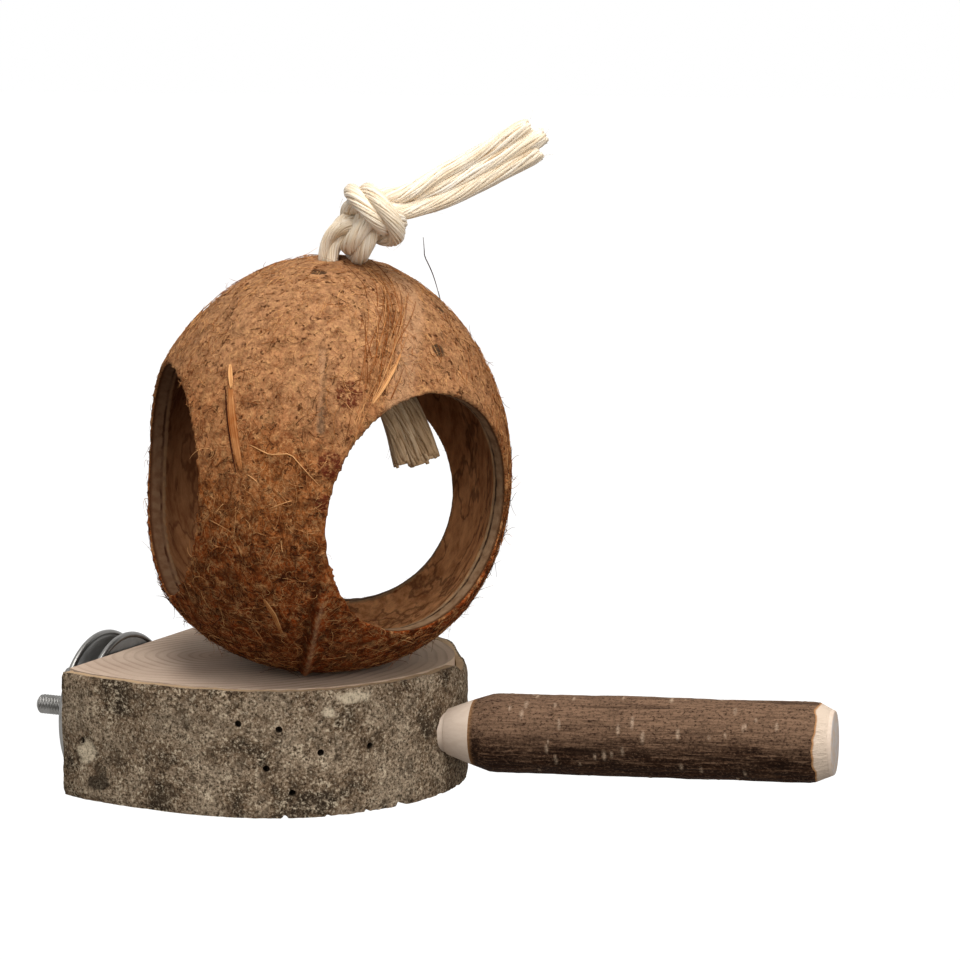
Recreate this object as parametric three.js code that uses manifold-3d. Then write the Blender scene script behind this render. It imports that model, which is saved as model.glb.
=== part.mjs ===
// Coconut bird house: an emptied coconut with three mouths on a log slice with a perch, hung by a wire clamp.
// Millimetres, +Z up. The origin is where the clamp stud's axis meets the slice's flat back.
// +X points out from that back towards the perch, and +Y runs along it.

import * as THREE from "three";
import { mergeVertices } from "three/addons/utils/BufferGeometryUtils.js";
import Module from "manifold-3d";

const wasm = await Module();
wasm.setup();

// Fits between pieces
const SEAT_GAP = 0.3;
const SCREW_CLEARANCE = 0.3;
const HOLE_END_SPACE = 2;

// Log slice
const SLICE_RADIUS = 56.2;
const SLICE_CENTRE = new THREE.Vector2(43.4, 10);
const SLICE_THICKNESS = 36;
const SLICE_TOP = 20;
const BARK_THICKNESS = 3.5;
const BARK_FOOT_SETBACK = 0.6;
const TRUNK_WAVES = 5;
const TRUNK_WAVE_HEIGHT = 0.5;
const ROOT_FLARE = 10.5;
const ROOT_FLARE_AZIMUTH = THREE.MathUtils.degToRad(-140);
const ROOT_FLARE_WIDTH = THREE.MathUtils.degToRad(24);
const SLICE_SIDES = 72;

// Coconut shell
const SHELL_CENTRE = new THREE.Vector2(64.7, -0.5);
const SHELL_RADIUS = 54.2;
const SHELL_CROWN_RISE = 64;
const SHELL_BASE_DROP = 56;
const SHELL_WALL = 5;
const SHELL_CROWN_SQUARENESS = 1.95;
const SHELL_BASE_SQUARENESS = 2.15;
const SHELL_LEAN = THREE.MathUtils.degToRad(6);
const SHELL_LEAN_AZIMUTH = THREE.MathUtils.degToRad(25);
const SHELL_SEAT_DEPTH = 1;
const RIDGES = 3;
const RIDGE_HEIGHT = 2.2;
const RIDGE_AZIMUTH = THREE.MathUtils.degToRad(-64);
const RIDGE_SHARPNESS = 4;
const KEEL_HEIGHT = 3;
const SHELL_SIDES = 48;
const SHELL_RINGS = 22;

// Saw-cut mouths, with their centres' heights measured from the slice's top
const FRONT_MOUTH_RADIUS = 33.6;
const FRONT_MOUTH_HEIGHT = 49.5;
const FRONT_MOUTH_AZIMUTH = THREE.MathUtils.degToRad(-24);
const WALL_MOUTH_RADIUS = 32.8;
const WALL_MOUTH_HEIGHT = 56;
const WALL_MOUTH_AZIMUTH = THREE.MathUtils.degToRad(-139);
const FAR_MOUTH_RADIUS = 32;
const FAR_MOUTH_HEIGHT = 45.5;
const FAR_MOUTH_AZIMUTH = THREE.MathUtils.degToRad(107);
const MOUTHS = [
  { azimuth: FRONT_MOUTH_AZIMUTH, radius: FRONT_MOUTH_RADIUS, height: FRONT_MOUTH_HEIGHT },
  { azimuth: WALL_MOUTH_AZIMUTH, radius: WALL_MOUTH_RADIUS, height: WALL_MOUTH_HEIGHT },
  { azimuth: FAR_MOUTH_AZIMUTH, radius: FAR_MOUTH_RADIUS, height: FAR_MOUTH_HEIGHT },
];
const MOUTH_SIDES = 36;

// Screw that holds the shell down
const SHELL_SCREW_RADIUS = 1.5;
const SHELL_SCREW_LENGTH = 28;
const SHELL_SCREW_HEAD_RADIUS = 3;
const SHELL_SCREW_HEAD_HEIGHT = 2;
const SHELL_WASHER_RADIUS = 8;
const SHELL_WASHER_THICKNESS = 1.4;

// Perch
const PERCH_SEAT_AZIMUTH = THREE.MathUtils.degToRad(0);
const PERCH_YAW = THREE.MathUtils.degToRad(11.7);
const PERCH_RISE = THREE.MathUtils.degToRad(1.2);
const PERCH_AXIS_HEIGHT = 1.6;
const PERCH_LENGTH = 112.4;
const PERCH_WOOD_RADIUS = 9.5;
const PERCH_BARK_THICKNESS = 1.6;
const PERCH_NOSE_RADIUS = 6;
const PERCH_NOSE_DEPTH = 6;
const PERCH_NOSE_STANDOFF = 2;
const PERCH_CONE_LENGTH = 6.4;
const PERCH_TIP_RADIUS = 9;
const PERCH_TIP_CHAMFER = 1.1;
const PERCH_SIDES = 28;
const DOWEL_SCREW_RADIUS = 2.8;
const DOWEL_SCREW_REACH = 20;
const SCREW_POINT_LENGTH = 5;
const SCREW_SIDES = 16;

// Wire clamp, with distances measured back from the slice's flat back
const STUD_RADIUS = 3;
const STUD_BURIED = 42;
const STUD_OUT = 33;
const STUD_END_CHAMFER = 0.8;
const DISC_RADIUS = 24.3;
const DISC_SHEET = 1.2;
const DISC_FLAT_RADIUS = 9;
const DISC_DISH = 1.6;
const RIM_RADIUS = 1;
const RIM_ARC = 1.5 * Math.PI;
const DISH_SHARE_HALFWAY = 0.35;
const WIRE_GAP = 6;
const DISC_SIDES = 32;
const RIM_STEPS = 6;

// Wing nut
const NUT_BASE_RADIUS = 6.2;
const NUT_TOP_RADIUS = 4.8;
const NUT_HEIGHT = 6.5;
const WING_SPAN = 25;
const WING_TOP = 10.5;
const WING_ROOT_START = 1.6;
const WING_THICKNESS = 2.2;
// Shares of the wing's reach and height at which its outline turns
const WING_BELLY = 0.8;
const WING_TIP_HEIGHT = 0.7;
const WING_TOP_REACH = 0.78;
const WING_WAIST = 0.6;
const NUT_SIDES = 24;
const WING_CURVE_STEPS = 5;

// Rope: slack where it is free, drawn thinner in its knots
const ROPE_RADIUS = 4.2;
const KNOT_ROPE_RADIUS = 2.7;
const KNOT_PITCH = 6.5;
const KNOT_STRETCH = 1.3;
const ROPE_HOLE_CLEARANCE = 0.4;
const ROPE_AZIMUTH = THREE.MathUtils.degToRad(25);
const ROPE_SIDES = 10;
const ROPE_STEP = 3.4;
const LEAST_ROPE_GAP = 0.4;
const LENGTH_SAMPLES = 400;
const GAP_SAMPLES = 160;
const NEIGHBOUR_REACH = 3;

// Half of an overhand knot in knot pitches, from its middle to its outlet.
// A half turn about z gives the other half.
const KNOT_HALF = [
  [0, 0, -1.03],
  [-0.12, 0.68, -0.98],
  [-0.32, 1.28, -0.62],
  [-0.56, 1.46, 0.06],
  [-0.73, 1.05, 0.68],
  [-0.7, 0.34, 0.87],
  [-0.42, -0.3, 0.62],
  [0.1, -0.53, 0.13],
  [0.8, -0.48, -0.2],
];
// Rope points, from the shell's centre line: along the rope's azimuth, across it, and up from the origin
const OUTER_TAIL_POINTS = [
  [61.5, 10, 172.2],
  [47.5, 10, 165],
  [34.5, 10.5, 158.6],
  [23.5, 11.8, 154.6],
];
const OUTER_KNOT = {
  centre: [13.6, 10, 149.5],
  tilt: THREE.MathUtils.degToRad(24),
  roll: THREE.MathUtils.degToRad(258),
  hand: -1,
};
const NECK_POINTS = [
  [3.6, 6, 143.2],
  [2.6, 5.4, 137],
  [2.6, 5, 130.5],
];
const INNER_KNOT = { centre: [7.4, 6.5, 117.5], tilt: THREE.MathUtils.degToRad(-35), roll: 0, hand: 1 };
const INNER_TAIL_POINTS = [
  [17, 5, 105],
  [21, 5, 98.5],
  [24.5, 5, 90],
  [27.5, 5, 80],
];

const COLOURS = {
  shell: { color: 0x8a5a32, roughness: 0.9, metalness: 0 },
  wood: { color: 0xc9a98c, roughness: 0.75, metalness: 0 },
  bark: { color: 0x6f6555, roughness: 0.95, metalness: 0 },
  perchBark: { color: 0x4f3d32, roughness: 0.85, metalness: 0 },
  perchWood: { color: 0xdcc3a4, roughness: 0.7, metalness: 0 },
  rope: { color: 0xe2d3b4, roughness: 0.9, metalness: 0 },
  steel: { color: 0xb4b4b2, roughness: 0.35, metalness: 1 },
};

const Z_AXIS = new THREE.Vector3(0, 0, 1);
const SLICE_FOOT = SLICE_TOP - SLICE_THICKNESS;
const SHELL_FOOT = SLICE_TOP + SEAT_GAP;
const FAR = 400;
const MERGE_DISTANCE = 1e-4;

// Leaves only merged positions on a closed mesh and turns its faces outwards.
function closedMesh(geometry) {
  const bare = geometry.clone();
  for (const name of Object.keys(bare.attributes)) {
    if (name !== "position") bare.deleteAttribute(name);
  }
  const merged = mergeVertices(bare, MERGE_DISTANCE);
  const index = Array.from(merged.index.array);
  const corners = [new THREE.Vector3(), new THREE.Vector3(), new THREE.Vector3()];
  const faces = [];
  let volume = 0;
  for (let i = 0; i < index.length; i += 3) {
    const face = index.slice(i, i + 3);
    if (new Set(face).size < 3) continue;
    face.forEach((vertex, k) => corners[k].fromBufferAttribute(merged.attributes.position, vertex));
    volume += corners[0].dot(corners[1].clone().cross(corners[2]));
    faces.push(face);
  }
  if (volume < 0) faces.forEach((face) => face.reverse());
  merged.setIndex(faces.flat());
  return merged;
}

// Turns a closed mesh into a solid that can be joined and cut.
function solidOf(geometry) {
  const mesh = closedMesh(geometry);
  const vertProperties = new Float32Array(mesh.attributes.position.array);
  const triVerts = new Uint32Array(mesh.index.array);
  return new wasm.Manifold(new wasm.Mesh({ numProp: 3, vertProperties, triVerts }));
}

// Turns a solid back into a geometry.
function geometryOf(solid) {
  const mesh = solid.getMesh();
  const geometry = new THREE.BufferGeometry();
  geometry.setAttribute("position", new THREE.BufferAttribute(new Float32Array(mesh.vertProperties), 3));
  geometry.setIndex(Array.from(mesh.triVerts));
  return geometry;
}

// Makes a named mesh with its own material.
function piece(name, geometry, finish) {
  const mesh = new THREE.Mesh(closedMesh(geometry), new THREE.MeshStandardMaterial(finish));
  mesh.geometry.computeVertexNormals();
  mesh.name = name;
  return mesh;
}

// Revolves a profile of [radius, height] points about +Z.
function revolve(profile, sides) {
  const points = profile.map(([radius, height]) => new THREE.Vector2(radius, height));
  return new THREE.LatheGeometry(points, sides).rotateX(Math.PI / 2);
}

// A cylinder from one height to another on +Z.
function rod(radius, from, to, sides) {
  return revolve([[0, from], [radius, from], [radius, to], [0, to]], sides);
}

// Lays a geometry made along +Z on an axis that starts at a point.
function layOn(geometry, start, direction) {
  const turn = new THREE.Quaternion().setFromUnitVectors(Z_AXIS, direction);
  return geometry.applyQuaternion(turn).translate(start.x, start.y, start.z);
}

// A block that covers everything on one side of a level or of the flat back.
function halfSpace(centre) {
  return solidOf(new THREE.BoxGeometry(FAR, FAR, FAR).translate(centre.x, centre.y, centre.z));
}

// Trunk radius at an azimuth about the slice's centre: round, wavy, and flared at one back corner.
function trunkRadius(azimuth) {
  const turn = azimuth - ROOT_FLARE_AZIMUTH;
  const offset = Math.atan2(Math.sin(turn), Math.cos(turn));
  const flare = ROOT_FLARE * Math.exp(-((offset / ROOT_FLARE_WIDTH) ** 2));
  return SLICE_RADIUS + TRUNK_WAVE_HEIGHT * Math.sin(TRUNK_WAVES * azimuth) + flare;
}

// Point of the trunk's outline, set in from the outside of the bark.
function trunkPoint(azimuth, inset) {
  const radius = trunkRadius(azimuth) - inset;
  return new THREE.Vector2(radius * Math.cos(azimuth), radius * Math.sin(azimuth)).add(SLICE_CENTRE);
}

// Upright prism of the trunk's outline.
function trunkPrism(inset, from, to) {
  const outline = [];
  for (let i = 0; i < SLICE_SIDES; i++) outline.push(trunkPoint((2 * Math.PI * i) / SLICE_SIDES, inset));
  const shape = new THREE.Shape(outline);
  const prism = new THREE.ExtrudeGeometry(shape, { depth: to - from, bevelEnabled: false });
  return solidOf(prism.translate(0, 0, from));
}

const frontOfBack = halfSpace(new THREE.Vector3(FAR / 2, 0, 0));

// Perch axis: it leaves the bark at one azimuth and points out and slightly up.
const perchSeat = trunkPoint(PERCH_SEAT_AZIMUTH, 0);
const perchStart = new THREE.Vector3(perchSeat.x, perchSeat.y, PERCH_AXIS_HEIGHT);
const perchDirection = new THREE.Vector3(
  Math.cos(PERCH_YAW) * Math.cos(PERCH_RISE),
  Math.sin(PERCH_YAW) * Math.cos(PERCH_RISE),
  Math.sin(PERCH_RISE),
);
const studDirection = new THREE.Vector3(-1, 0, 0);
const origin = new THREE.Vector3();
const dowelMiddle = -PERCH_NOSE_DEPTH;

// Solid along the perch's axis.
function onPerch(geometry) {
  return solidOf(layOn(geometry, perchStart, perchDirection));
}

// Socket for the perch's nose, drilled through the bark into the wood.
const noseSocket = onPerch(
  rod(PERCH_NOSE_RADIUS + SCREW_CLEARANCE, -PERCH_NOSE_DEPTH - SEAT_GAP, PERCH_CONE_LENGTH, PERCH_SIDES),
);
const dowelHoleReach = DOWEL_SCREW_REACH + HOLE_END_SPACE;
const dowelHole = onPerch(
  rod(
    DOWEL_SCREW_RADIUS + SCREW_CLEARANCE,
    dowelMiddle - dowelHoleReach,
    dowelMiddle + dowelHoleReach,
    SCREW_SIDES,
  ),
);

// Log slice: wood core with its drilled holes, and the bark round its curved side
function sliceWood() {
  const studHole = solidOf(
    layOn(
      rod(STUD_RADIUS + SCREW_CLEARANCE, -STUD_BURIED - HOLE_END_SPACE, STUD_OUT, SCREW_SIDES),
      origin,
      studDirection,
    ),
  );
  const screwHole = solidOf(
    rod(
      SHELL_SCREW_RADIUS + SCREW_CLEARANCE,
      shellScrewTip - HOLE_END_SPACE,
      SHELL_FOOT + SHELL_WALL,
      SCREW_SIDES,
    ).translate(SHELL_CENTRE.x, SHELL_CENTRE.y, 0),
  );
  return trunkPrism(BARK_THICKNESS + SEAT_GAP, SLICE_FOOT, SLICE_TOP)
    .intersect(frontOfBack)
    .subtract(studHole)
    .subtract(screwHole)
    .subtract(noseSocket)
    .subtract(dowelHole);
}

function sliceBark() {
  const core = trunkPrism(BARK_THICKNESS, SLICE_FOOT - FAR / 2, SLICE_TOP + FAR / 2);
  return trunkPrism(0, SLICE_FOOT + BARK_FOOT_SETBACK, SLICE_TOP)
    .intersect(frontOfBack)
    .subtract(core)
    .subtract(noseSocket);
}

// Egg-like nut with three ridges that run into a keel below. Set in, it gives the hollow.
function nut(inset) {
  const geometry = new THREE.SphereGeometry(1, SHELL_SIDES, SHELL_RINGS).rotateX(Math.PI / 2);
  const place = geometry.attributes.position;
  const point = new THREE.Vector3();
  for (let i = 0; i < place.count; i++) {
    point.fromBufferAttribute(place, i);
    const level = Math.hypot(point.x, point.y);
    const power = 2 / (point.z > 0 ? SHELL_CROWN_SQUARENESS : SHELL_BASE_SQUARENESS);
    const azimuth = Math.atan2(point.y, point.x);
    const crest = ((1 + Math.cos(RIDGES * (azimuth - RIDGE_AZIMUTH))) / 2) ** RIDGE_SHARPNESS;
    const keel = point.z < 0 ? KEEL_HEIGHT * point.z ** 2 : 0;
    const ridge = inset > 0 ? 0 : (RIDGE_HEIGHT + keel) * crest;
    const radius = (SHELL_RADIUS - inset) * level ** power + ridge * level;
    const half = point.z > 0 ? SHELL_CROWN_RISE : SHELL_BASE_DROP;
    const height = Math.sign(point.z) * (half - inset) * Math.abs(point.z) ** power;
    place.setXYZ(i, radius * Math.cos(azimuth), radius * Math.sin(azimuth), height);
  }
  const leanAxis = new THREE.Vector3(-Math.sin(SHELL_LEAN_AZIMUTH), Math.cos(SHELL_LEAN_AZIMUTH), 0);
  return solidOf(geometry.applyMatrix4(new THREE.Matrix4().makeRotationAxis(leanAxis, SHELL_LEAN)));
}

const shellOutside = nut(0);
const shellDrop = SHELL_FOOT - SHELL_SEAT_DEPTH - shellOutside.boundingBox().min[2];
const shellHollow = nut(SHELL_WALL).translate([SHELL_CENTRE.x, SHELL_CENTRE.y, shellDrop]);
// The screw's washer lies on a spot face, one wall above the seat.
const shellWasherFoot = SHELL_FOOT + SHELL_WALL;
const shellHeadFoot = shellWasherFoot + SHELL_WASHER_THICKNESS + SEAT_GAP;
const shellScrewTip = shellHeadFoot - SHELL_SCREW_LENGTH;

function coconutShell() {
  const mouths = MOUTHS.map(({ azimuth, radius, height }) => {
    const outward = new THREE.Vector3(Math.cos(azimuth), Math.sin(azimuth), 0);
    const start = new THREE.Vector3(SHELL_CENTRE.x, SHELL_CENTRE.y, SLICE_TOP + height);
    return solidOf(layOn(rod(radius, 0, FAR, MOUTH_SIDES), start, outward));
  });
  const ropeHole = solidOf(ropeTube(neckStart, innerKnotStart, KNOT_ROPE_RADIUS + ROPE_HOLE_CLEARANCE));
  const spotFace = rod(
    SHELL_WASHER_RADIUS + SEAT_GAP,
    shellWasherFoot - SEAT_GAP,
    shellWasherFoot + SHELL_WALL,
    DISC_SIDES,
  );
  const screwHole = rod(SHELL_SCREW_RADIUS + SCREW_CLEARANCE, SLICE_FOOT, shellWasherFoot, SCREW_SIDES);
  const below = halfSpace(new THREE.Vector3(0, 0, SHELL_FOOT - FAR / 2));
  let shell = shellOutside.translate([SHELL_CENTRE.x, SHELL_CENTRE.y, shellDrop]).subtract(shellHollow);
  for (const mouth of mouths) shell = shell.subtract(mouth);
  return shell
    .subtract(ropeHole)
    .subtract(solidOf(spotFace.translate(SHELL_CENTRE.x, SHELL_CENTRE.y, 0)))
    .subtract(solidOf(screwHole.translate(SHELL_CENTRE.x, SHELL_CENTRE.y, 0)))
    .subtract(below);
}

function shellScrew() {
  return revolve(
    [
      [0, shellScrewTip],
      [SHELL_SCREW_RADIUS, shellScrewTip + SCREW_POINT_LENGTH],
      [SHELL_SCREW_RADIUS, shellHeadFoot],
      [SHELL_SCREW_HEAD_RADIUS, shellHeadFoot],
      [SHELL_SCREW_HEAD_RADIUS, shellHeadFoot + SHELL_SCREW_HEAD_HEIGHT / 2],
      [SHELL_SCREW_HEAD_RADIUS / 2, shellHeadFoot + SHELL_SCREW_HEAD_HEIGHT],
      [0, shellHeadFoot + SHELL_SCREW_HEAD_HEIGHT],
    ],
    SCREW_SIDES,
  ).translate(SHELL_CENTRE.x, SHELL_CENTRE.y, 0);
}

function shellWasher() {
  const bore = SHELL_SCREW_RADIUS + SCREW_CLEARANCE;
  const top = shellWasherFoot + SHELL_WASHER_THICKNESS;
  const section = [
    [bore, shellWasherFoot],
    [SHELL_WASHER_RADIUS, shellWasherFoot],
    [SHELL_WASHER_RADIUS, top],
    [bore, top],
    [bore, shellWasherFoot],
  ];
  return revolve(section, DISC_SIDES).translate(SHELL_CENTRE.x, SHELL_CENTRE.y, 0);
}

// Perch: wood with a nose, a cone and a chamfered tip, in a sleeve of bark that ends on the same cones
const coneEndStation = PERCH_NOSE_STANDOFF + PERCH_CONE_LENGTH;
const coneSlope = (PERCH_WOOD_RADIUS - PERCH_NOSE_RADIUS) / PERCH_CONE_LENGTH;
const tipSlope = (PERCH_WOOD_RADIUS - PERCH_TIP_RADIUS) / PERCH_TIP_CHAMFER;
const tipChamferStart = PERCH_LENGTH - PERCH_TIP_CHAMFER;

function perchWood() {
  const wood = onPerch(
    revolve(
      [
        [0, -PERCH_NOSE_DEPTH],
        [PERCH_NOSE_RADIUS, -PERCH_NOSE_DEPTH],
        [PERCH_NOSE_RADIUS, PERCH_NOSE_STANDOFF],
        [PERCH_WOOD_RADIUS, coneEndStation],
        [PERCH_WOOD_RADIUS, tipChamferStart],
        [PERCH_TIP_RADIUS, PERCH_LENGTH],
        [0, PERCH_LENGTH],
      ],
      PERCH_SIDES,
    ),
  );
  return wood.subtract(dowelHole);
}

function perchBark() {
  const inside = PERCH_WOOD_RADIUS + SEAT_GAP;
  const outside = inside + PERCH_BARK_THICKNESS;
  const coneEnd = (radius) => coneEndStation + (radius - PERCH_WOOD_RADIUS) / coneSlope;
  const tipEnd = (radius) => tipChamferStart - (radius - PERCH_WOOD_RADIUS) / tipSlope;
  const section = [
    [inside, coneEnd(inside)],
    [outside, coneEnd(outside)],
    [outside, tipEnd(outside)],
    [inside, tipEnd(inside)],
    [inside, coneEnd(inside)],
  ];
  return layOn(revolve(section, PERCH_SIDES), perchStart, perchDirection);
}

function perchDowelScrew() {
  const shank = DOWEL_SCREW_REACH - SCREW_POINT_LENGTH;
  const profile = [
    [0, dowelMiddle - DOWEL_SCREW_REACH],
    [DOWEL_SCREW_RADIUS, dowelMiddle - shank],
    [DOWEL_SCREW_RADIUS, dowelMiddle + shank],
    [0, dowelMiddle + DOWEL_SCREW_REACH],
  ];
  return layOn(revolve(profile, SCREW_SIDES), perchStart, perchDirection);
}

// Hanger bolt: wood thread in the slice, machine thread out of its back
function hangerBolt() {
  const profile = [
    [0, -STUD_BURIED],
    [STUD_RADIUS, SCREW_POINT_LENGTH - STUD_BURIED],
    [STUD_RADIUS, STUD_OUT - STUD_END_CHAMFER],
    [STUD_RADIUS - STUD_END_CHAMFER, STUD_OUT],
    [0, STUD_OUT],
  ];
  return layOn(revolve(profile, SCREW_SIDES), origin, studDirection);
}

// Dished disc with a rolled rim. Its flat middle starts at height 0.
// Its rim rises towards the hollow side.
function dishedDisc() {
  const bore = STUD_RADIUS + SCREW_CLEARANCE;
  const rimCentre = DISC_RADIUS - RIM_RADIUS;
  const rimHeight = DISC_SHEET / 2 + DISC_DISH;
  const halfwayRadius = (DISC_FLAT_RADIUS + rimCentre) / 2;
  const halfwayRise = DISC_DISH * DISH_SHARE_HALFWAY;
  const section = [
    [bore, 0],
    [DISC_FLAT_RADIUS, 0],
    [halfwayRadius, halfwayRise],
  ];
  for (let i = 0; i <= RIM_STEPS; i++) {
    const angle = RIM_ARC * (i / RIM_STEPS - 1 / 2);
    section.push([rimCentre + RIM_RADIUS * Math.cos(angle), rimHeight + RIM_RADIUS * Math.sin(angle)]);
  }
  section.push(
    [halfwayRadius, halfwayRise + DISC_SHEET],
    [DISC_FLAT_RADIUS, DISC_SHEET],
    [bore, DISC_SHEET],
    [bore, 0],
  );
  return revolve(section, DISC_SIDES);
}

const rimReach = DISC_SHEET / 2 + DISC_DISH + RIM_RADIUS;
const innerDiscStart = SEAT_GAP;
const outerDiscEnd = innerDiscStart + 2 * rimReach + WIRE_GAP;
const nutStart = outerDiscEnd + SEAT_GAP;

function innerDisc() {
  return layOn(dishedDisc().translate(0, 0, innerDiscStart), origin, studDirection);
}

// The outer disc is the same pressing turned round, with its hollow towards the wire.
function outerDisc() {
  return layOn(dishedDisc().rotateX(Math.PI).translate(0, 0, outerDiscEnd), origin, studDirection);
}

function wingNut() {
  const cone = revolve(
    [[0, 0], [NUT_BASE_RADIUS, 0], [NUT_TOP_RADIUS, NUT_HEIGHT], [0, NUT_HEIGHT]],
    NUT_SIDES,
  );
  const reach = WING_SPAN / 2;
  const wing = new THREE.Shape();
  wing.moveTo(STUD_RADIUS, WING_ROOT_START);
  wing.quadraticCurveTo(reach * WING_BELLY, WING_ROOT_START, reach, WING_TOP * WING_TIP_HEIGHT);
  wing.quadraticCurveTo(reach, WING_TOP, reach * WING_TOP_REACH, WING_TOP);
  wing.quadraticCurveTo(reach * WING_WAIST, NUT_HEIGHT, STUD_RADIUS, NUT_HEIGHT);
  const plate = new THREE.ExtrudeGeometry(wing, {
    depth: WING_THICKNESS,
    bevelEnabled: false,
    curveSegments: WING_CURVE_STEPS,
  });
  plate.translate(0, 0, -WING_THICKNESS / 2).rotateX(Math.PI / 2);
  const bore = rod(STUD_RADIUS + SCREW_CLEARANCE, -HOLE_END_SPACE, WING_TOP + HOLE_END_SPACE, SCREW_SIDES);
  const nutSolid = solidOf(cone)
    .add(solidOf(plate))
    .add(solidOf(plate.clone().rotateZ(Math.PI)))
    .subtract(solidOf(bore));
  return layOn(geometryOf(nutSolid).translate(0, 0, nutStart), origin, studDirection);
}

// Point of the rope, given along and across its azimuth from the shell's centre line, and up.
function ropePlace([along, across, up]) {
  const c = Math.cos(ROPE_AZIMUTH);
  const s = Math.sin(ROPE_AZIMUTH);
  return new THREE.Vector3(
    SHELL_CENTRE.x + along * c + across * s,
    SHELL_CENTRE.y + along * s - across * c,
    up,
  );
}

// Points of an overhand knot from its outlet to its inlet, rolled about its own length and then tilted
// in the rope's upright plane. A hand of -1 mirrors it.
function knotPoints({ centre, tilt, roll, hand }) {
  const outlet = KNOT_HALF.slice().reverse();
  const inlet = KNOT_HALF.slice(1).map(([x, y, z]) => [-x, -y, z]);
  return [...outlet, ...inlet].map(([axial, side, deep]) => {
    const x = KNOT_STRETCH * axial;
    const y = side * Math.cos(roll) - hand * deep * Math.sin(roll);
    const z = side * Math.sin(roll) + hand * deep * Math.cos(roll);
    const along = x * Math.cos(tilt) - y * Math.sin(tilt);
    const up = x * Math.sin(tilt) + y * Math.cos(tilt);
    return ropePlace([
      centre[0] + KNOT_PITCH * along,
      centre[1] + KNOT_PITCH * z,
      centre[2] + KNOT_PITCH * up,
    ]);
  });
}

const outerTail = OUTER_TAIL_POINTS.map(ropePlace);
const outerKnot = knotPoints(OUTER_KNOT);
const neckPoints = NECK_POINTS.map(ropePlace);
const innerKnot = knotPoints(INNER_KNOT).reverse();
const innerTail = INNER_TAIL_POINTS.map(ropePlace);
const ropeRoute = new THREE.CatmullRomCurve3([
  ...outerTail,
  ...outerKnot,
  ...neckPoints,
  ...innerKnot,
  ...innerTail,
]);

// A stretch of the rope between two distances along it.
class RopeStretch extends THREE.Curve {
  constructor(from, to) {
    super();
    this.from = from;
    this.to = to;
  }

  getPoint(t) {
    return ropeRoute.getPointAt((this.from + (this.to - this.from) * t) / ropeRoute.getLength());
  }
}

// Distance along the rope at one of its points.
function ropeDistance(pointNumber) {
  const share = pointNumber / (ropeRoute.points.length - 1);
  let distance = 0;
  let last = ropeRoute.getPoint(0);
  for (let i = 1; i <= LENGTH_SAMPLES; i++) {
    const next = ropeRoute.getPoint((share * i) / LENGTH_SAMPLES);
    distance += next.distanceTo(last);
    last = next;
  }
  return distance;
}

// A tube along a stretch of the rope.
function ropeTube(from, to, radius) {
  const section = new THREE.Shape();
  section.absarc(0, 0, radius, 0, 2 * Math.PI);
  const stretch = new RopeStretch(from, to);
  return new THREE.ExtrudeGeometry(section, {
    steps: Math.max(2, Math.round((to - from) / ROPE_STEP)),
    curveSegments: ROPE_SIDES / 2,
    bevelEnabled: false,
    extrudePath: stretch,
  });
}

// Least gap of a knot's tube to itself, measured on points along it.
function leastGap(from, to) {
  const points = new RopeStretch(from, to).getSpacedPoints(GAP_SAMPLES);
  const spacing = (to - from) / GAP_SAMPLES;
  const skip = Math.ceil((NEIGHBOUR_REACH * KNOT_ROPE_RADIUS) / spacing);
  let least = Infinity;
  for (let i = 0; i < points.length; i++) {
    for (let k = i + skip; k < points.length; k++) {
      least = Math.min(least, points[i].distanceTo(points[k]) - 2 * KNOT_ROPE_RADIUS);
    }
  }
  return least;
}

const neckNumber = outerTail.length + outerKnot.length;
const innerKnotNumber = neckNumber + neckPoints.length;
const outerKnotStart = ropeDistance(outerTail.length - 1);
const neckStart = ropeDistance(neckNumber - 1);
const innerKnotStart = ropeDistance(innerKnotNumber - 1);
const innerKnotEnd = ropeDistance(innerKnotNumber + innerKnot.length - 1);
const ropeEnd = ropeRoute.getLength();
for (const [name, from, to] of [
  ["outer", outerKnotStart, innerKnotStart],
  ["inner", innerKnotStart, innerKnotEnd],
]) {
  const gap = leastGap(from, to);
  const verdict = gap < LEAST_ROPE_GAP ? "too small" : "clear";
  console.log(`${name} knot's least gap to itself: ${gap.toFixed(2)} mm, ${verdict}`);
}

const house = new THREE.Group();
house.add(
  piece("log_slice_wood", geometryOf(sliceWood()), COLOURS.wood),
  piece("log_slice_bark", geometryOf(sliceBark()), COLOURS.bark),
  piece("coconut_shell", geometryOf(coconutShell()), COLOURS.shell),
  piece("shell_screw", shellScrew(), COLOURS.steel),
  piece("shell_washer", shellWasher(), COLOURS.steel),
  piece("perch_wood", geometryOf(perchWood()), COLOURS.perchWood),
  piece("perch_bark", perchBark(), COLOURS.perchBark),
  piece("perch_dowel_screw", perchDowelScrew(), COLOURS.steel),
  piece("hanger_bolt", hangerBolt(), COLOURS.steel),
  piece("inner_clamp_disc", innerDisc(), COLOURS.steel),
  piece("outer_clamp_disc", outerDisc(), COLOURS.steel),
  piece("wing_nut", wingNut(), COLOURS.steel),
  piece("rope_outer_tail", ropeTube(0, outerKnotStart - SEAT_GAP, ROPE_RADIUS), COLOURS.rope),
  piece(
    "rope_outer_knot",
    ropeTube(outerKnotStart, innerKnotStart - SEAT_GAP, KNOT_ROPE_RADIUS),
    COLOURS.rope,
  ),
  piece(
    "rope_inner_knot",
    ropeTube(innerKnotStart, innerKnotEnd - SEAT_GAP, KNOT_ROPE_RADIUS),
    COLOURS.rope,
  ),
  piece("rope_inner_tail", ropeTube(innerKnotEnd, ropeEnd, ROPE_RADIUS), COLOURS.rope),
);

export default house;
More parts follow.
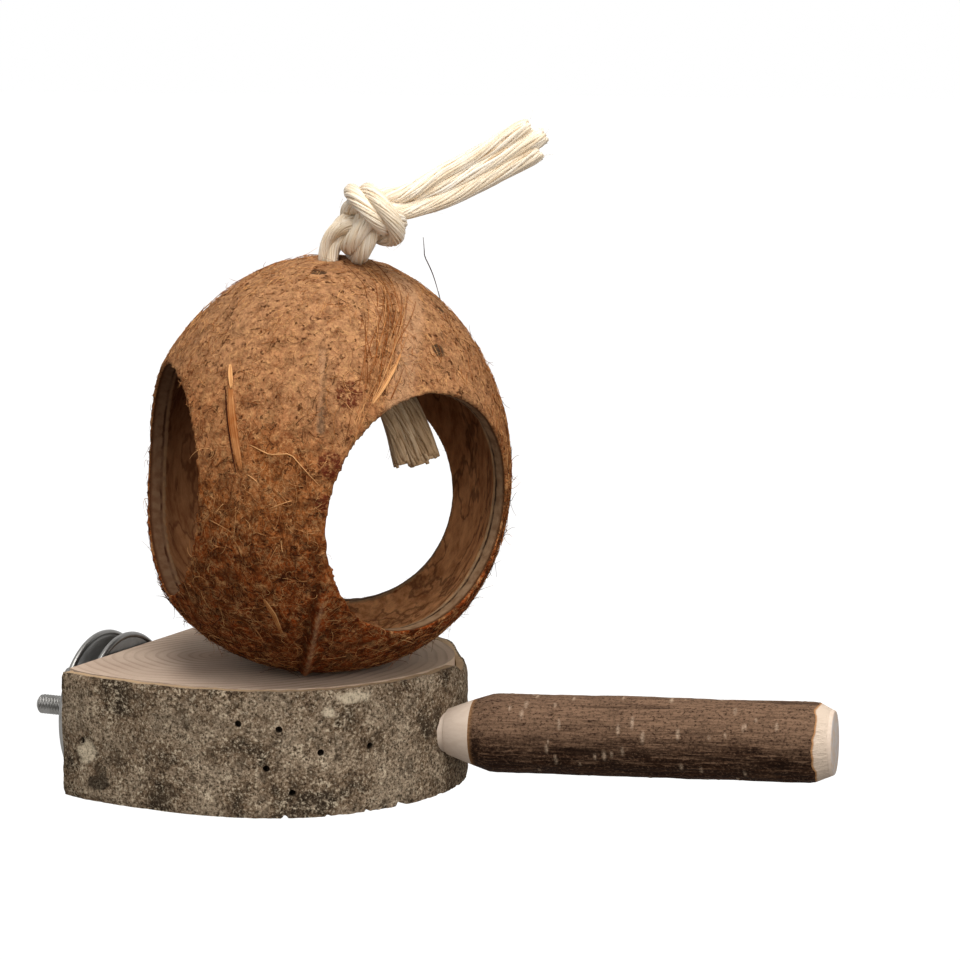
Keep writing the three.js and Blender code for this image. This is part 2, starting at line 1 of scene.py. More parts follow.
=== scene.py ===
"""Coconut bird house: a coconut on a barked log slice with a perch, a knotted rope and a wire clamp.

Metres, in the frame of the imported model: the origin is where the clamp stud's axis meets the slice's flat
back, +X points out towards the perch and +Z points up.
"""

import logging
import math
import random
from dataclasses import dataclass
from enum import Enum
from typing import Any, Callable, Sequence

import bpy
import numpy as np
from mathutils import Matrix, Vector, noise


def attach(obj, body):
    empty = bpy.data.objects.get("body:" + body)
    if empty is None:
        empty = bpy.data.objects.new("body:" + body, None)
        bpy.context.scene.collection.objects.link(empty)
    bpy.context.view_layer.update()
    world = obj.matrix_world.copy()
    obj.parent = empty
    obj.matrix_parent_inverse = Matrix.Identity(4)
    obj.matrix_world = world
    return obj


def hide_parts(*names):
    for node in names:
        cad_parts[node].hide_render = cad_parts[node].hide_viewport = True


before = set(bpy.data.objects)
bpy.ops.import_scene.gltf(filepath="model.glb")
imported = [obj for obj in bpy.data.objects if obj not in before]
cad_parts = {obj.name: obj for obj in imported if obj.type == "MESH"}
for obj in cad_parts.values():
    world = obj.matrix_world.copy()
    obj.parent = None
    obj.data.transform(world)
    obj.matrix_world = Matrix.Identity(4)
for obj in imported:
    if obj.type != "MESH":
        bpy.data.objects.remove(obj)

Piece = bpy.types.Object
Material = bpy.types.Material
Rows = np.ndarray

MM = 0.001
SHELL_CENTRE = (64.7 * MM, -0.5 * MM)
LOG = logging.getLogger("bird_house")
MERGE_DISTANCE = 1e-6


class Body(Enum):
    """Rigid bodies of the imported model."""

    HOUSE = "house"
    OUTER_DISC = "outer_disc"
    WING_NUT = "wing_nut"


class Slot(Enum):
    """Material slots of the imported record."""

    SHELL = "shell"
    BARK = "bark"
    PERCH_WOOD = "perch_wood"
    PERCH_BARK = "perch_bark"
    ROPE = "rope"
    STEEL = "steel"


def srgb(red: int, green: int, blue: int) -> tuple[float, float, float, float]:
    """Turn an eight-bit screen colour into a linear one.

    Args:
        red: Red from 0 to 255.
        green: Green from 0 to 255.
        blue: Blue from 0 to 255.

    Returns:
        The linear colour with full alpha.
    """
    out = []
    for value in (red, green, blue):
        share = value / 255
        out.append(share / 12.92 if share <= 0.04045 else ((share + 0.055) / 1.055) ** 2.4)
    return (out[0], out[1], out[2], 1.0)


def smooth_step(low: float, high: float, value: Rows) -> Rows:
    """Rise smoothly from 0 at low to 1 at high.

    Args:
        low: Where the rise starts.
        high: Where the rise ends.
        value: Values to map.

    Returns:
        Shares from 0 to 1.
    """
    share = np.clip((value - low) / (high - low), 0.0, 1.0)
    return share * share * (3 - 2 * share)


def unit(vectors: Rows) -> Rows:
    """Scale vectors on the last axis to length 1."""
    return vectors / np.maximum(np.linalg.norm(vectors, axis=-1, keepdims=True), 1e-12)


def bell(offset: Rows, width: float) -> Rows:
    """Fall from 1 at an offset of 0 along a bell curve of a width."""
    return np.exp(-((offset / width) ** 2))


def wrapped(angle: Rows) -> Rows:
    """Angles brought into half a turn to either side of 0."""
    return np.arctan2(np.sin(angle), np.cos(angle))


def rough(points: Rows, scale: Sequence[float], octaves: int, shift: float = 0.0) -> Rows:
    """Fractal noise at points.

    Args:
        points: Points as rows.
        scale: Frequency along each axis.
        octaves: Layers of ever finer noise.
        shift: Moves the sample, to tell one pattern from another.

    Returns:
        One value per point, roughly from -1 to 1.
    """
    scaled = points * np.asarray(scale) + shift
    return np.array([noise.fractal(Vector(p), 1.0, 2.0, octaves) for p in scaled])


class Bench:
    """Workbench: the steps that every piece goes through."""

    @staticmethod
    def clear() -> None:
        """Leave edit mode and deselect everything."""
        if bpy.context.object and bpy.context.object.mode != "OBJECT":
            bpy.ops.object.mode_set(mode="OBJECT")
        bpy.ops.object.select_all(action="DESELECT")

    @staticmethod
    def hold(piece: Piece) -> None:
        """Select one piece and make it active."""
        Bench.clear()
        piece.select_set(True)
        bpy.context.view_layer.objects.active = piece

    @staticmethod
    def take(name: str) -> Piece:
        """Name the piece that an operator just added, with its place put into its mesh."""
        piece = bpy.context.object
        piece.name = name
        piece.data.name = name
        bpy.ops.object.transform_apply(location=True, rotation=True, scale=True)
        return piece

    @staticmethod
    def link(name: str, points: Sequence, edges: Sequence, faces: Sequence) -> Piece:
        """Put a new mesh into the scene.

        Args:
            name: Name of the piece.
            points: Points as rows.
            edges: Point numbers of each edge that no face has.
            faces: Point numbers of each face.

        Returns:
            The new piece, selected and active.
        """
        mesh = bpy.data.meshes.new(name)
        mesh.from_pydata(points, edges, faces)
        mesh.validate()
        piece = bpy.data.objects.new(name, mesh)
        bpy.context.scene.collection.objects.link(piece)
        Bench.hold(piece)
        return piece

    @staticmethod
    def from_mesh(name: str, points: Rows, faces: Sequence[Sequence[int]]) -> Piece:
        """Make a piece from points and faces."""
        return Bench.link(name, points.reshape(-1, 3).tolist(), [], [list(face) for face in faces])

    @staticmethod
    def woven(lines: int, columns: int, around: bool, closed: bool) -> list[tuple]:
        """Faces between the lines of a grid of points.

        Args:
            lines: Lines in the grid.
            columns: Points on each line.
            around: Whether each line's last point meets its first.
            closed: Whether the last line meets the first.

        Returns:
            Four point numbers per face.
        """
        faces = []
        for line in range(lines if closed else lines - 1):
            here, after = line * columns, (line + 1) % lines * columns
            for column in range(columns if around else columns - 1):
                ahead = (column + 1) % columns
                faces.append((here + column, here + ahead, after + ahead, after + column))
        return faces

    @staticmethod
    def tube_faces(lines: int, sides: int) -> list[tuple]:
        """Faces of a tube with both ends closed."""
        last = (lines - 1) * sides
        ends = [tuple(reversed(range(sides))), tuple(range(last, last + sides))]
        return Bench.woven(lines, sides, around=True, closed=False) + ends

    @staticmethod
    def points(piece: Piece) -> Rows:
        """Points of a piece's mesh as rows."""
        flat = np.zeros(len(piece.data.vertices) * 3, np.float64)
        piece.data.vertices.foreach_get("co", flat)
        return flat.reshape(-1, 3)

    @staticmethod
    def normals(piece: Piece) -> Rows:
        """Point normals of a piece's mesh as rows."""
        flat = np.zeros(len(piece.data.vertices) * 3, np.float32)
        piece.data.vertex_normals.foreach_get("vector", flat)
        return flat.reshape(-1, 3).astype(float)

    @staticmethod
    def move_points(piece: Piece, points: Rows) -> None:
        """Put the points of a piece's mesh elsewhere."""
        piece.data.vertices.foreach_set("co", points.astype(np.float32).ravel())
        piece.data.update()

    @staticmethod
    def mark(piece: Piece, name: str, values: Rows) -> None:
        """Store one value per point as a named attribute."""
        attribute = piece.data.attributes.new(name, "FLOAT", "POINT")
        attribute.data.foreach_set("value", values.astype(np.float32))

    @staticmethod
    def modify(piece: Piece, kind: str, **settings: Any) -> None:
        """Add a modifier to a piece and apply it.

        Args:
            piece: The piece.
            kind: Modifier type.
            settings: Modifier settings by name.
        """
        Bench.hold(piece)
        modifier = piece.modifiers.new(kind.lower(), kind)
        for key, value in settings.items():
            setattr(modifier, key, value)
        bpy.ops.object.modifier_apply(modifier=modifier.name)

    @staticmethod
    def bevel(piece: Piece, width: float, angle: float) -> None:
        """Break a piece's edges that are sharper than an angle."""
        Bench.modify(piece, "BEVEL", width=width, segments=2, limit_method="ANGLE", angle_limit=angle)

    @staticmethod
    def cut(piece: Piece, tool: Piece, operation: str = "DIFFERENCE") -> None:
        """Cut a piece with a tool, or join them, and throw the tool away."""
        Bench.modify(piece, "BOOLEAN", object=tool, operation=operation, solver="EXACT")
        bpy.data.objects.remove(tool)

    @staticmethod
    def drill(
        piece: Piece, radius: float, depth: float, sides: int, middle: Vector, axis: Vector
    ) -> None:
        """Cut a round hole.

        Args:
            piece: Piece that is cut.
            radius: Radius of the hole.
            depth: Length of the drill.
            sides: Sides of the drill.
            middle: Middle of the drill.
            axis: Direction of the drill.
        """
        Bench.clear()
        bpy.ops.mesh.primitive_cylinder_add(vertices=sides, radius=radius, depth=depth)
        tool = Bench.take("drill")
        Bench.lay(tool, middle, axis)
        Bench.cut(piece, tool)

    @staticmethod
    def clean(piece: Piece) -> None:
        """Merge doubled points and turn all faces outwards."""
        Bench.hold(piece)
        bpy.ops.object.mode_set(mode="EDIT")
        bpy.ops.mesh.select_all(action="SELECT")
        bpy.ops.mesh.remove_doubles(threshold=MERGE_DISTANCE)
        bpy.ops.mesh.normals_make_consistent(inside=False)
        bpy.ops.object.mode_set(mode="OBJECT")

    @staticmethod
    def spun(name: str, profile: Sequence[tuple[float, float]], steps: int) -> Piece:
        """Spin a profile once round +Z.

        Args:
            name: Name of the piece.
            profile: Radius and height of each point.
            steps: Steps of the full turn.

        Returns:
            The closed piece.
        """
        points = [(radius, 0.0, height) for radius, height in profile]
        piece = Bench.link(name, points, [(i, i + 1) for i in range(len(points) - 1)], [])
        bpy.ops.object.mode_set(mode="EDIT")
        bpy.ops.mesh.select_all(action="SELECT")
        bpy.ops.mesh.spin(steps=steps, angle=2 * math.pi, center=(0, 0, 0), axis=(0, 0, 1))
        bpy.ops.object.mode_set(mode="OBJECT")
        Bench.clean(piece)
        return piece

    @staticmethod
    def lay(piece: Piece, start: Vector, direction: Vector) -> None:
        """Lay a piece that was made along +Z on an axis through a point."""
        turn = Vector((0, 0, 1)).rotation_difference(direction).to_matrix().to_4x4()
        piece.data.transform(Matrix.Translation(start) @ turn)

    @staticmethod
    def smooth(piece: Piece, degrees: float) -> None:
        """Shade a piece smooth, apart from edges sharper than an angle."""
        Bench.hold(piece)
        bpy.ops.object.shade_smooth_by_angle(angle=math.radians(degrees))

    @staticmethod
    def dress(piece: Piece, material: Material) -> None:
        """Give a piece one material."""
        piece.data.materials.clear()
        piece.data.materials.append(material)

    @staticmethod
    def deliver(
        piece: Piece, body: Body, slot: Slot, material: Material, nodes: Sequence[str] = ()
    ) -> None:
        """Dress a finished piece and hand it to the frame.

        Args:
            piece: The finished piece.
            body: Body that it rides on.
            slot: Record's slot that its finish belongs to; not used.
            material: Its material.
            nodes: CAD nodes that it stands for.
        """
        Bench.dress(piece, material)
        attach(piece, body.value)
        if nodes:
            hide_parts(*nodes)
        LOG.info("%s: %d faces", piece.name, len(piece.data.polygons))


def tube_bundle(name: str, paths: Rows, ups: Rows, radii: Rows, sides: int, tones: Rows) -> Piece:
    """Make many thin closed tubes as one piece.

    Args:
        name: Name of the piece.
        paths: Tube, station and coordinate.
        ups: A direction across each tube at each station.
        radii: Radius of each tube at each station.
        sides: Sides of a tube.
        tones: One value per tube, stored as the attribute "tone".

    Returns:
        The piece.
    """
    count, stations, _ = paths.shape
    tangents = unit(np.gradient(paths, axis=1))
    across = unit(np.cross(tangents, ups))
    over = np.cross(across, tangents)
    turns = (np.arange(sides) * 2 * math.pi / sides)[:, None]
    outward = np.cos(turns) * across[:, :, None, :] + np.sin(turns) * over[:, :, None, :]
    rings = paths[:, :, None, :] + radii[:, :, None, None] * outward
    one = Bench.tube_faces(stations, sides)
    firsts = range(0, count * stations * sides, stations * sides)
    piece = Bench.from_mesh(name, rings, [[first + k for k in face] for first in firsts for face in one])
    Bench.mark(piece, "tone", np.repeat(tones, stations * sides))
    piece.data.shade_smooth()
    return piece


class Graph:
    """Builds a node tree in a few words."""

    def __init__(self, tree: bpy.types.NodeTree) -> None:
        """Take the tree that is built."""
        self.tree = tree

    def add(self, kind: str, inputs: dict[Any, Any] | None = None, **settings: Any) -> bpy.types.Node:
        """Add a node.

        Args:
            kind: Node type without its ShaderNode prefix.
            inputs: Values or sockets by input name or number.
            settings: Node settings by name.

        Returns:
            The new node.
        """
        node = self.tree.nodes.new(kind if kind.startswith("NodeGroup") else "ShaderNode" + kind)
        for key, value in settings.items():
            setattr(node, key, value)
        for key, value in (inputs or {}).items():
            self.give(node.inputs[key], value)
        return node

    def give(self, socket: bpy.types.NodeSocket, value: Any) -> None:
        """Link a socket to another, or set its value."""
        if isinstance(value, bpy.types.NodeSocket):
            self.tree.links.new(value, socket)
        else:
            socket.default_value = value

    def noise(self, vector: Any, scale: Any, detail: float = 4.0, **more: float) -> Any:
        """Noise texture's value at a vector."""
        inputs = {"Vector": vector, "Scale": scale, "Detail": detail, **more}
        return self.add("TexNoise", inputs).outputs["Fac"]

    def wander(self, vector: Any, scale: float) -> Any:
        """Noise texture's colour at a vector, to move other patterns by."""
        inputs = {"Vector": vector, "Scale": scale, "Detail": 2.0}
        return self.add("TexNoise", inputs).outputs["Color"]

    def stretch(self, vector: Any, scale: Sequence[float], turn: Sequence[float] = (0, 0, 0)) -> Any:
        """Scaled and turned coordinates."""
        inputs = {"Vector": vector, "Scale": tuple(scale), "Rotation": tuple(turn)}
        return self.add("Mapping", inputs).outputs["Vector"]

    def vector(self, operation: str, first: Any, second: Any = (0, 0, 0)) -> Any:
        """Result of a vector math node, whose second input is a number where it scales."""
        inputs = {0: first, "Scale" if operation == "SCALE" else 1: second}
        node = self.add("VectorMath", inputs, operation=operation)
        return node.outputs["Value" if operation in ("LENGTH", "DOT_PRODUCT") else "Vector"]

    def axis(self, vector: Any, name: str) -> Any:
        """One coordinate of a vector."""
        return self.add("SeparateXYZ", {0: vector}).outputs[name]

    def math(self, operation: str, first: Any, second: Any = 0.0) -> Any:
        """Result of a math node."""
        return self.add("Math", {0: first, 1: second}, operation=operation).outputs[0]

    def times(self, first: Any, second: Any) -> Any:
        """Product of two values."""
        return self.math("MULTIPLY", first, second)

    def sway(self, value: Any, size: float) -> Any:
        """A noise value made to swing about 0 by a size."""
        return self.times(self.math("SUBTRACT", value, 0.5), size)

    def off_middle(self, value: Any) -> Any:
        """Distance of a noise value from its middle."""
        return self.math("ABSOLUTE", self.math("SUBTRACT", value, 0.5))

    def fit(self, value: Any, low: float, high: float, to_low: float = 0.0, to_high: float = 1.0) -> Any:
        """A value carried from one range to another and kept inside it."""
        ends = {"From Min": low, "From Max": high, "To Min": to_low, "To Max": to_high}
        inputs = {"Value": value, **ends}
        return self.add("MapRange", inputs, interpolation_type="SMOOTHSTEP").outputs["Result"]

    def blend(self, share: Any, first: Any, second: Any) -> Any:
        """Mix of two colours."""
        return self.add("Mix", {0: share, 6: first, 7: second}, data_type="RGBA").outputs[2]

    def ramp(self, value: Any, stops: Sequence[tuple[float, tuple]]) -> Any:
        """Colour ramp at a value."""
        node = self.add("ValToRGB", {0: value})
        elements = node.color_ramp.elements
        while len(elements) < len(stops):
            elements.new(0.5)
        for element, (place, colour) in zip(elements, stops):
            element.position = place
            element.color = colour
        return node.outputs["Color"]

    def attribute(self, name: str) -> Any:
        """Value of a piece's own attribute."""
        return self.add("Attribute", attribute_name=name).outputs["Fac"]


class Streaks:
    """Long fine streaks, as of fibres or grain: one node group that several finishes place."""

    tree: bpy.types.NodeTree | None = None
    bend_scale: float = 45.0

    @classmethod
    def group(cls) -> bpy.types.NodeTree:
        """Build the group with its named inputs and outputs."""
        tree = bpy.data.node_groups.new("Streaks", "ShaderNodeTree")
        for label, kind in (("Vector", "Vector"), ("Scale", "Float"), ("Bend", "Float")):
            tree.interface.new_socket(label, in_out="INPUT", socket_type="NodeSocket" + kind)
        for label in ("Streak", "Height"):
            tree.interface.new_socket(label, in_out="OUTPUT", socket_type="NodeSocketFloat")
        g = Graph(tree)
        given = g.add("NodeGroupInput").outputs
        centred = g.vector("SUBTRACT", g.wander(given["Vector"], cls.bend_scale), (0.5, 0.5, 0.5))
        bent = g.vector("ADD", given["Vector"], g.vector("SCALE", centred, given["Bend"]))
        fine = g.noise(bent, given["Scale"], 5.0, Roughness=0.65)
        g.add("NodeGroupOutput", {"Streak": g.fit(fine, 0.36, 0.64), "Height": fine})
        return tree

    @classmethod
    def lay(cls, g: Graph, vector: Any, scale: float, bend: float) -> tuple[Any, Any]:
        """Place the group in a material.

        Args:
            g: The material's graph.
            vector: Coordinates, stretched along the streaks.
            scale: Streaks per metre, roughly.
            bend: How far they wander, in metres.

        Returns:
            Sockets with the streaks and with their height.
        """
        cls.tree = cls.tree or cls.group()
        inputs = {"Vector": vector, "Scale": scale, "Bend": bend}
        node = g.add("Group", inputs, node_tree=cls.tree)
        return node.outputs["Streak"], node.outputs["Height"]


class Surface:
    """A material under construction, with its coordinates, its colour and its shader."""

    def __init__(self, name: str) -> None:
        """Make a material with a Principled shader and nothing linked to it."""
        self.material = bpy.data.materials.new(name)
        self.material.use_nodes = True
        self.graph = Graph(self.material.node_tree)
        self.shader = self.material.node_tree.nodes["Principled BSDF"]
        self.place = self.graph.add("TexCoord").outputs["Object"]
        self.colour: Any = (0.8, 0.8, 0.8, 1.0)

    def coat(self, *layers: tuple[Any, Any]) -> None:
        """Lay colours over the surface's own, each given as a mask and a tint."""
        for mask, tint in layers:
            self.colour = self.graph.blend(mask, self.colour, tint)

    def bump(self, height: Any, strength: float, distance: float) -> None:
        """Add relief to the shader's normal.

        Args:
            height: Height socket.
            strength: Share of the relief.
            distance: Relief in metres where the height is 1.
        """
        inputs = {"Height": height, "Strength": strength, "Distance": distance}
        node = self.graph.add("Bump", inputs)
        socket = self.shader.inputs["Normal"]
        if socket.links:
            self.graph.tree.links.new(socket.links[0].from_socket, node.inputs["Normal"])
        self.graph.tree.links.new(node.outputs["Normal"], socket)

    def done(self, **values: Any) -> Material:
        """Set the shader's inputs, underscores for spaces in their names, and hand the material over."""
        for key, value in {"Base_Color": self.colour, **values}.items():
            self.graph.give(self.shader.inputs[key.replace("_", " ")], value)
        return self.material


@dataclass(frozen=True)
class HuskFinish:
    """Coconut shell: felted tan crown, dark fibrous base, smooth inside and a layered cut edge."""

    crown: tuple = srgb(181, 132, 92)
    middle: tuple = srgb(162, 97, 50)
    base: tuple = srgb(142, 62, 20)
    shade: tuple = srgb(60, 27, 11)
    rust: tuple = srgb(102, 41, 15)
    straw: tuple = srgb(212, 160, 106)
    smooth: tuple = srgb(184, 142, 106)
    bruise: tuple = srgb(84, 30, 18)
    inside: tuple = srgb(222, 160, 108)
    inside_dark: tuple = srgb(158, 102, 62)
    cut: tuple = srgb(134, 106, 80)
    cut_husk: tuple = srgb(90, 60, 38)
    cut_line: tuple = srgb(44, 30, 20)
    cut_skin: tuple = srgb(186, 148, 106)
    # the scab colour also lays a painted shadow along the scar's right side
    scab: tuple = srgb(60, 46, 35)
    low: float = 26 * MM
    high: float = 132 * MM
    level_sway: float = 70 * MM
    thread_sway: float = 9 * MM
    streak_bend: float = 6 * MM
    # ranges in metres of the painted shade: on the inside by height and towards the back, on the sawn edge
    # towards the back
    hollow_shade_rise: tuple = (45 * MM, 115 * MM)
    hollow_shade_back: tuple = (65 * MM, 30 * MM)
    rim_shade_back: tuple = (60 * MM, 25 * MM)

    def felt(self, surface: Surface, turn: float, scale: float) -> Any:
        """Thin curly threads, as ridges of bent noise.

        Args:
            surface: Surface that they lie on.
            turn: Turn of the pattern, to tell one layer from another.
            scale: Threads per metre, roughly.

        Returns:
            Socket with 1 on a thread.
        """
        g = surface.graph
        bent = g.vector("SCALE", g.wander(surface.place, 190.0), self.thread_sway)
        moved = g.vector("ADD", surface.place, bent)
        flat = g.stretch(moved, (1.0, 1.0, 0.5), (turn, turn * 0.7, turn * 1.3))
        return g.fit(g.off_middle(g.noise(flat, scale, 3.0, Roughness=0.6)), 0.03, 0.0)

    def body(self, surface: Surface, grain: Any) -> Any:
        """Lay the husk's colours.

        Args:
            surface: Surface that it covers.
            grain: Socket with its finest grain.

        Returns:
            Socket with the husk's relief.
        """
        g, place = surface.graph, surface.place
        sway = g.sway(g.noise(place, 38.0, 5.0), self.level_sway)
        level = g.fit(g.math("ADD", g.axis(place, "Z"), sway), self.low, self.high)
        surface.colour = g.ramp(level, [(0.0, self.base), (0.5, self.middle), (1.0, self.crown)])
        streak, _ = Streaks.lay(g, g.stretch(place, (1.0, 1.0, 0.14)), 560.0, self.streak_bend)
        clumps = g.fit(g.noise(place, 260.0, 6.0, Roughness=0.7), 0.5, 0.63)
        tufts = g.fit(g.noise(g.stretch(place, (1, 1, 1), (1.1, 0.3, 0.7)), 330.0, 5.0), 0.54, 0.66)
        dark_threads = g.times(self.felt(surface, 0.4, 420.0), g.fit(level, 0.2, 0.9, 0.4, 0.12))
        pale_threads = g.times(self.felt(surface, 2.1, 360.0), g.fit(level, 0.0, 1.0, 0.5, 0.35))
        band, spot = g.attribute("band"), g.attribute("spot")
        worn = g.times(g.fit(band, -0.1, -0.9), g.fit(grain, 0.3, 0.7, 0.75, 0.35))
        # the seam's dark fibres, and painted shade in the keel's groove
        dark_seam_and_groove_shade = g.times(g.fit(band, 0.05, 0.9), g.fit(streak, 0.0, 1.0, 0.05, 0.32))
        surface.coat(
            (g.times(clumps, g.fit(level, 0.1, 0.9, 0.95, 0.4)), self.rust),
            (g.times(tufts, g.fit(level, 0.0, 1.0, 0.6, 0.3)), self.straw),
            (g.times(streak, 0.22), self.rust),
            (g.times(g.fit(grain, 0.5, 0.68), g.fit(level, 0.2, 1.0, 0.85, 0.55)), self.shade),
            (g.fit(grain, 0.5, 0.32, 0.0, 0.45), self.straw),
            (g.fit(g.noise(place, 560.0, 3.0), 0.6, 0.68, 0.0, 0.85), self.shade),
            (dark_threads, self.shade),
            (pale_threads, self.straw),
            # painted shade in the felt's pits and the keel's groove
            (g.times(g.attribute("pit"), 0.62), self.shade),
            (worn, self.smooth),
            (dark_seam_and_groove_shade, self.shade),
            (g.times(g.fit(spot, -0.1, -0.9), g.fit(grain, 0.36, 0.56, 0.0, 0.85)), self.bruise),
            # dark scabs and the scar's dark lower end, and a painted shadow along the scar's right side
            (g.fit(spot, 0.1, 0.8, 0.0, 0.85), self.scab),
        )
        relief = g.math("ADD", g.times(pale_threads, 0.7), g.math("SUBTRACT", grain, dark_threads))
        return g.math("SUBTRACT", relief, g.times(clumps, 0.4))

    def rim(self, surface: Surface, depth: Any) -> Any:
        """Colour of the sawn edge: husk, shell, a crack and the pale skin inside, with painted shade
        towards the back.

        Args:
            surface: Surface that it covers.
            depth: Socket with the share of the wall's depth.

        Returns:
            Socket with the colour.
        """
        g = surface.graph
        tone = g.noise(surface.place, 420.0, 4.0)
        shell = g.blend(g.fit(tone, 0.35, 0.7, 0.0, 0.6), self.cut, self.cut_husk)
        rim = g.blend(g.fit(depth, 0.22, 0.4), self.cut_husk, shell)
        ragged = g.math("ADD", depth, g.sway(tone, 0.12))
        crack = g.times(g.fit(ragged, 0.68, 0.74), g.fit(ragged, 0.84, 0.78))
        broken = g.fit(g.noise(surface.place, 170.0, 3.0), 0.4, 0.56, 0.25, 0.95)
        rim = g.blend(g.times(crack, broken), rim, self.cut_line)
        skin = g.times(g.fit(ragged, 0.82, 0.88), g.fit(tone, 0.35, 0.65, 0.05, 0.6))
        rim = g.blend(skin, rim, self.cut_skin)
        # painted shade: the sawn edge darkens towards the back
        return g.blend(g.fit(g.axis(surface.place, "X"), *self.rim_shade_back, 0.0, 0.55), rim, self.shade)

    def hollow(self, surface: Surface, tone: Any) -> Any:
        """Colour of the smooth inside, veined, with painted shade under the crown and towards the back.

        Args:
            surface: Surface that it covers.
            tone: Socket with its long grain.

        Returns:
            Socket with the colour.
        """
        g, place = surface.graph, surface.place
        inner = g.ramp(tone, [(0.36, self.inside_dark), (0.6, self.inside)])
        wave = g.noise(g.stretch(place, (1.0, 1.0, 0.4)), 120.0, 4.0)
        inner = g.blend(g.fit(g.off_middle(wave), 0.04, 0.0, 0.0, 0.6), inner, self.shade)
        # painted shade: the inside darkens towards the crown and towards the back
        inner = g.blend(g.fit(g.axis(place, "Z"), *self.hollow_shade_rise, 0.0, 0.75), inner, self.shade)
        return g.blend(g.fit(g.axis(place, "X"), *self.hollow_shade_back, 0.0, 0.7), inner, self.shade)

    def material(self) -> Material:
        """Build the material.

        Returns:
            The material, which reads the attributes "depth" (0 outside, 1 inside the wall), "pit" (1 for
            painted shade in the felt's pits and the keel's groove), "band" (1 in the fibrous seam and for
            painted shade in the keel's groove, -1 where it is worn smooth) and "spot" (1 on a dark scab and
            for a painted shadow along the scar's right side, -1 on a bruise).
        """
        surface = Surface("coconut husk")
        g = surface.graph
        relief = self.body(surface, g.noise(surface.place, 900.0, 6.0, Roughness=0.7))
        depth = g.attribute("depth")
        tone = g.noise(g.stretch(surface.place, (1.0, 1.0, 0.35)), 260.0, 8.0, Roughness=0.72)
        surface.coat(
            (g.fit(depth, 0.12, 0.22), self.rim(surface, depth)),
            (g.fit(depth, 0.93, 0.98), self.hollow(surface, tone)),
        )
        surface.bump(g.times(relief, g.fit(depth, 0.3, 0.15)), 0.9, 0.7 * MM)
        surface.bump(tone, 0.35, 0.6 * MM)
        return surface.done(Roughness=0.88, Specular_IOR_Level=0.02)


@dataclass(frozen=True)
class StrandFinish:
    """Plant fibres whose colour follows each fibre's own tone."""

    name: str
    dark: tuple
    middle: tuple
    pale: tuple
    roughness: float = 0.7
    gloss: float = 0.05

    def material(self) -> Material:
        """Build the material, which reads the attribute "tone"."""
        surface = Surface(self.name)
        g = surface.graph
        tone = g.math("ADD", g.attribute("tone"), g.sway(g.noise(surface.place, 220.0, 3.0), 0.5))
        surface.colour = g.ramp(tone, [(0.05, self.dark), (0.45, self.middle), (0.9, self.pale)])
        return surface.done(Roughness=self.roughness, Specular_IOR_Level=self.gloss)


@dataclass(frozen=True)
class SawnWoodFinish:
    """Sawn end grain with growth rings round a pith."""

    pale: tuple = srgb(201, 178, 157)
    middle: tuple = srgb(184, 160, 140)
    ring: tuple = srgb(136, 109, 91)
    warm: tuple = srgb(204, 176, 147)
    core: tuple = srgb(166, 135, 111)
    pith: tuple = (29.5 * MM, -0.6 * MM, 0.0)
    ring_pitch: float = 3.1 * MM
    ring_sway: float = 14 * MM
    sapwood: tuple = (50 * MM, 66 * MM)
    heartwood: tuple = (16 * MM, 2 * MM)

    def material(self) -> Material:
        """Build the material on Object coordinates."""
        surface = Surface("sawn log wood")
        g, place = surface.graph, surface.place
        flat = g.stretch(g.vector("SUBTRACT", place, self.pith), (1.0, 1.0, 0.0))
        reach = g.vector("LENGTH", flat)
        wander = g.sway(g.noise(flat, 18.0, 2.0), self.ring_sway)
        saw = g.math("FRACT", g.math("DIVIDE", g.math("ADD", reach, wander), self.ring_pitch))
        late = g.times(g.fit(saw, 0.45, 0.9), g.fit(saw, 1.0, 0.94))
        strength = g.fit(g.noise(flat, 34.0, 2.0), 0.25, 0.75, 0.1, 0.62)
        saw_marks = g.noise(g.stretch(place, (90.0, 1100.0, 90.0), (0, 0, 0.4)), 1.0, 3.0)
        fine = g.noise(place, 1300.0, 3.0)
        surface.colour = self.pale
        surface.coat(
            (g.fit(g.noise(place, 45.0, 4.0), 0.3, 0.7), self.middle),
            (g.fit(reach, *self.sapwood, 0.0, 0.7), self.warm),
            (g.fit(reach, *self.heartwood, 0.0, 0.6), self.core),
            (g.times(late, strength), self.ring),
            (g.fit(saw_marks, 0.45, 0.75, 0.0, 0.2), self.middle),
            (g.fit(fine, 0.55, 0.75, 0.0, 0.3), self.ring),
        )
        surface.bump(saw_marks, 0.15, 0.2 * MM)
        surface.bump(fine, 0.2, 0.2 * MM)
        return surface.done(Roughness=0.82, Specular_IOR_Level=0.15)


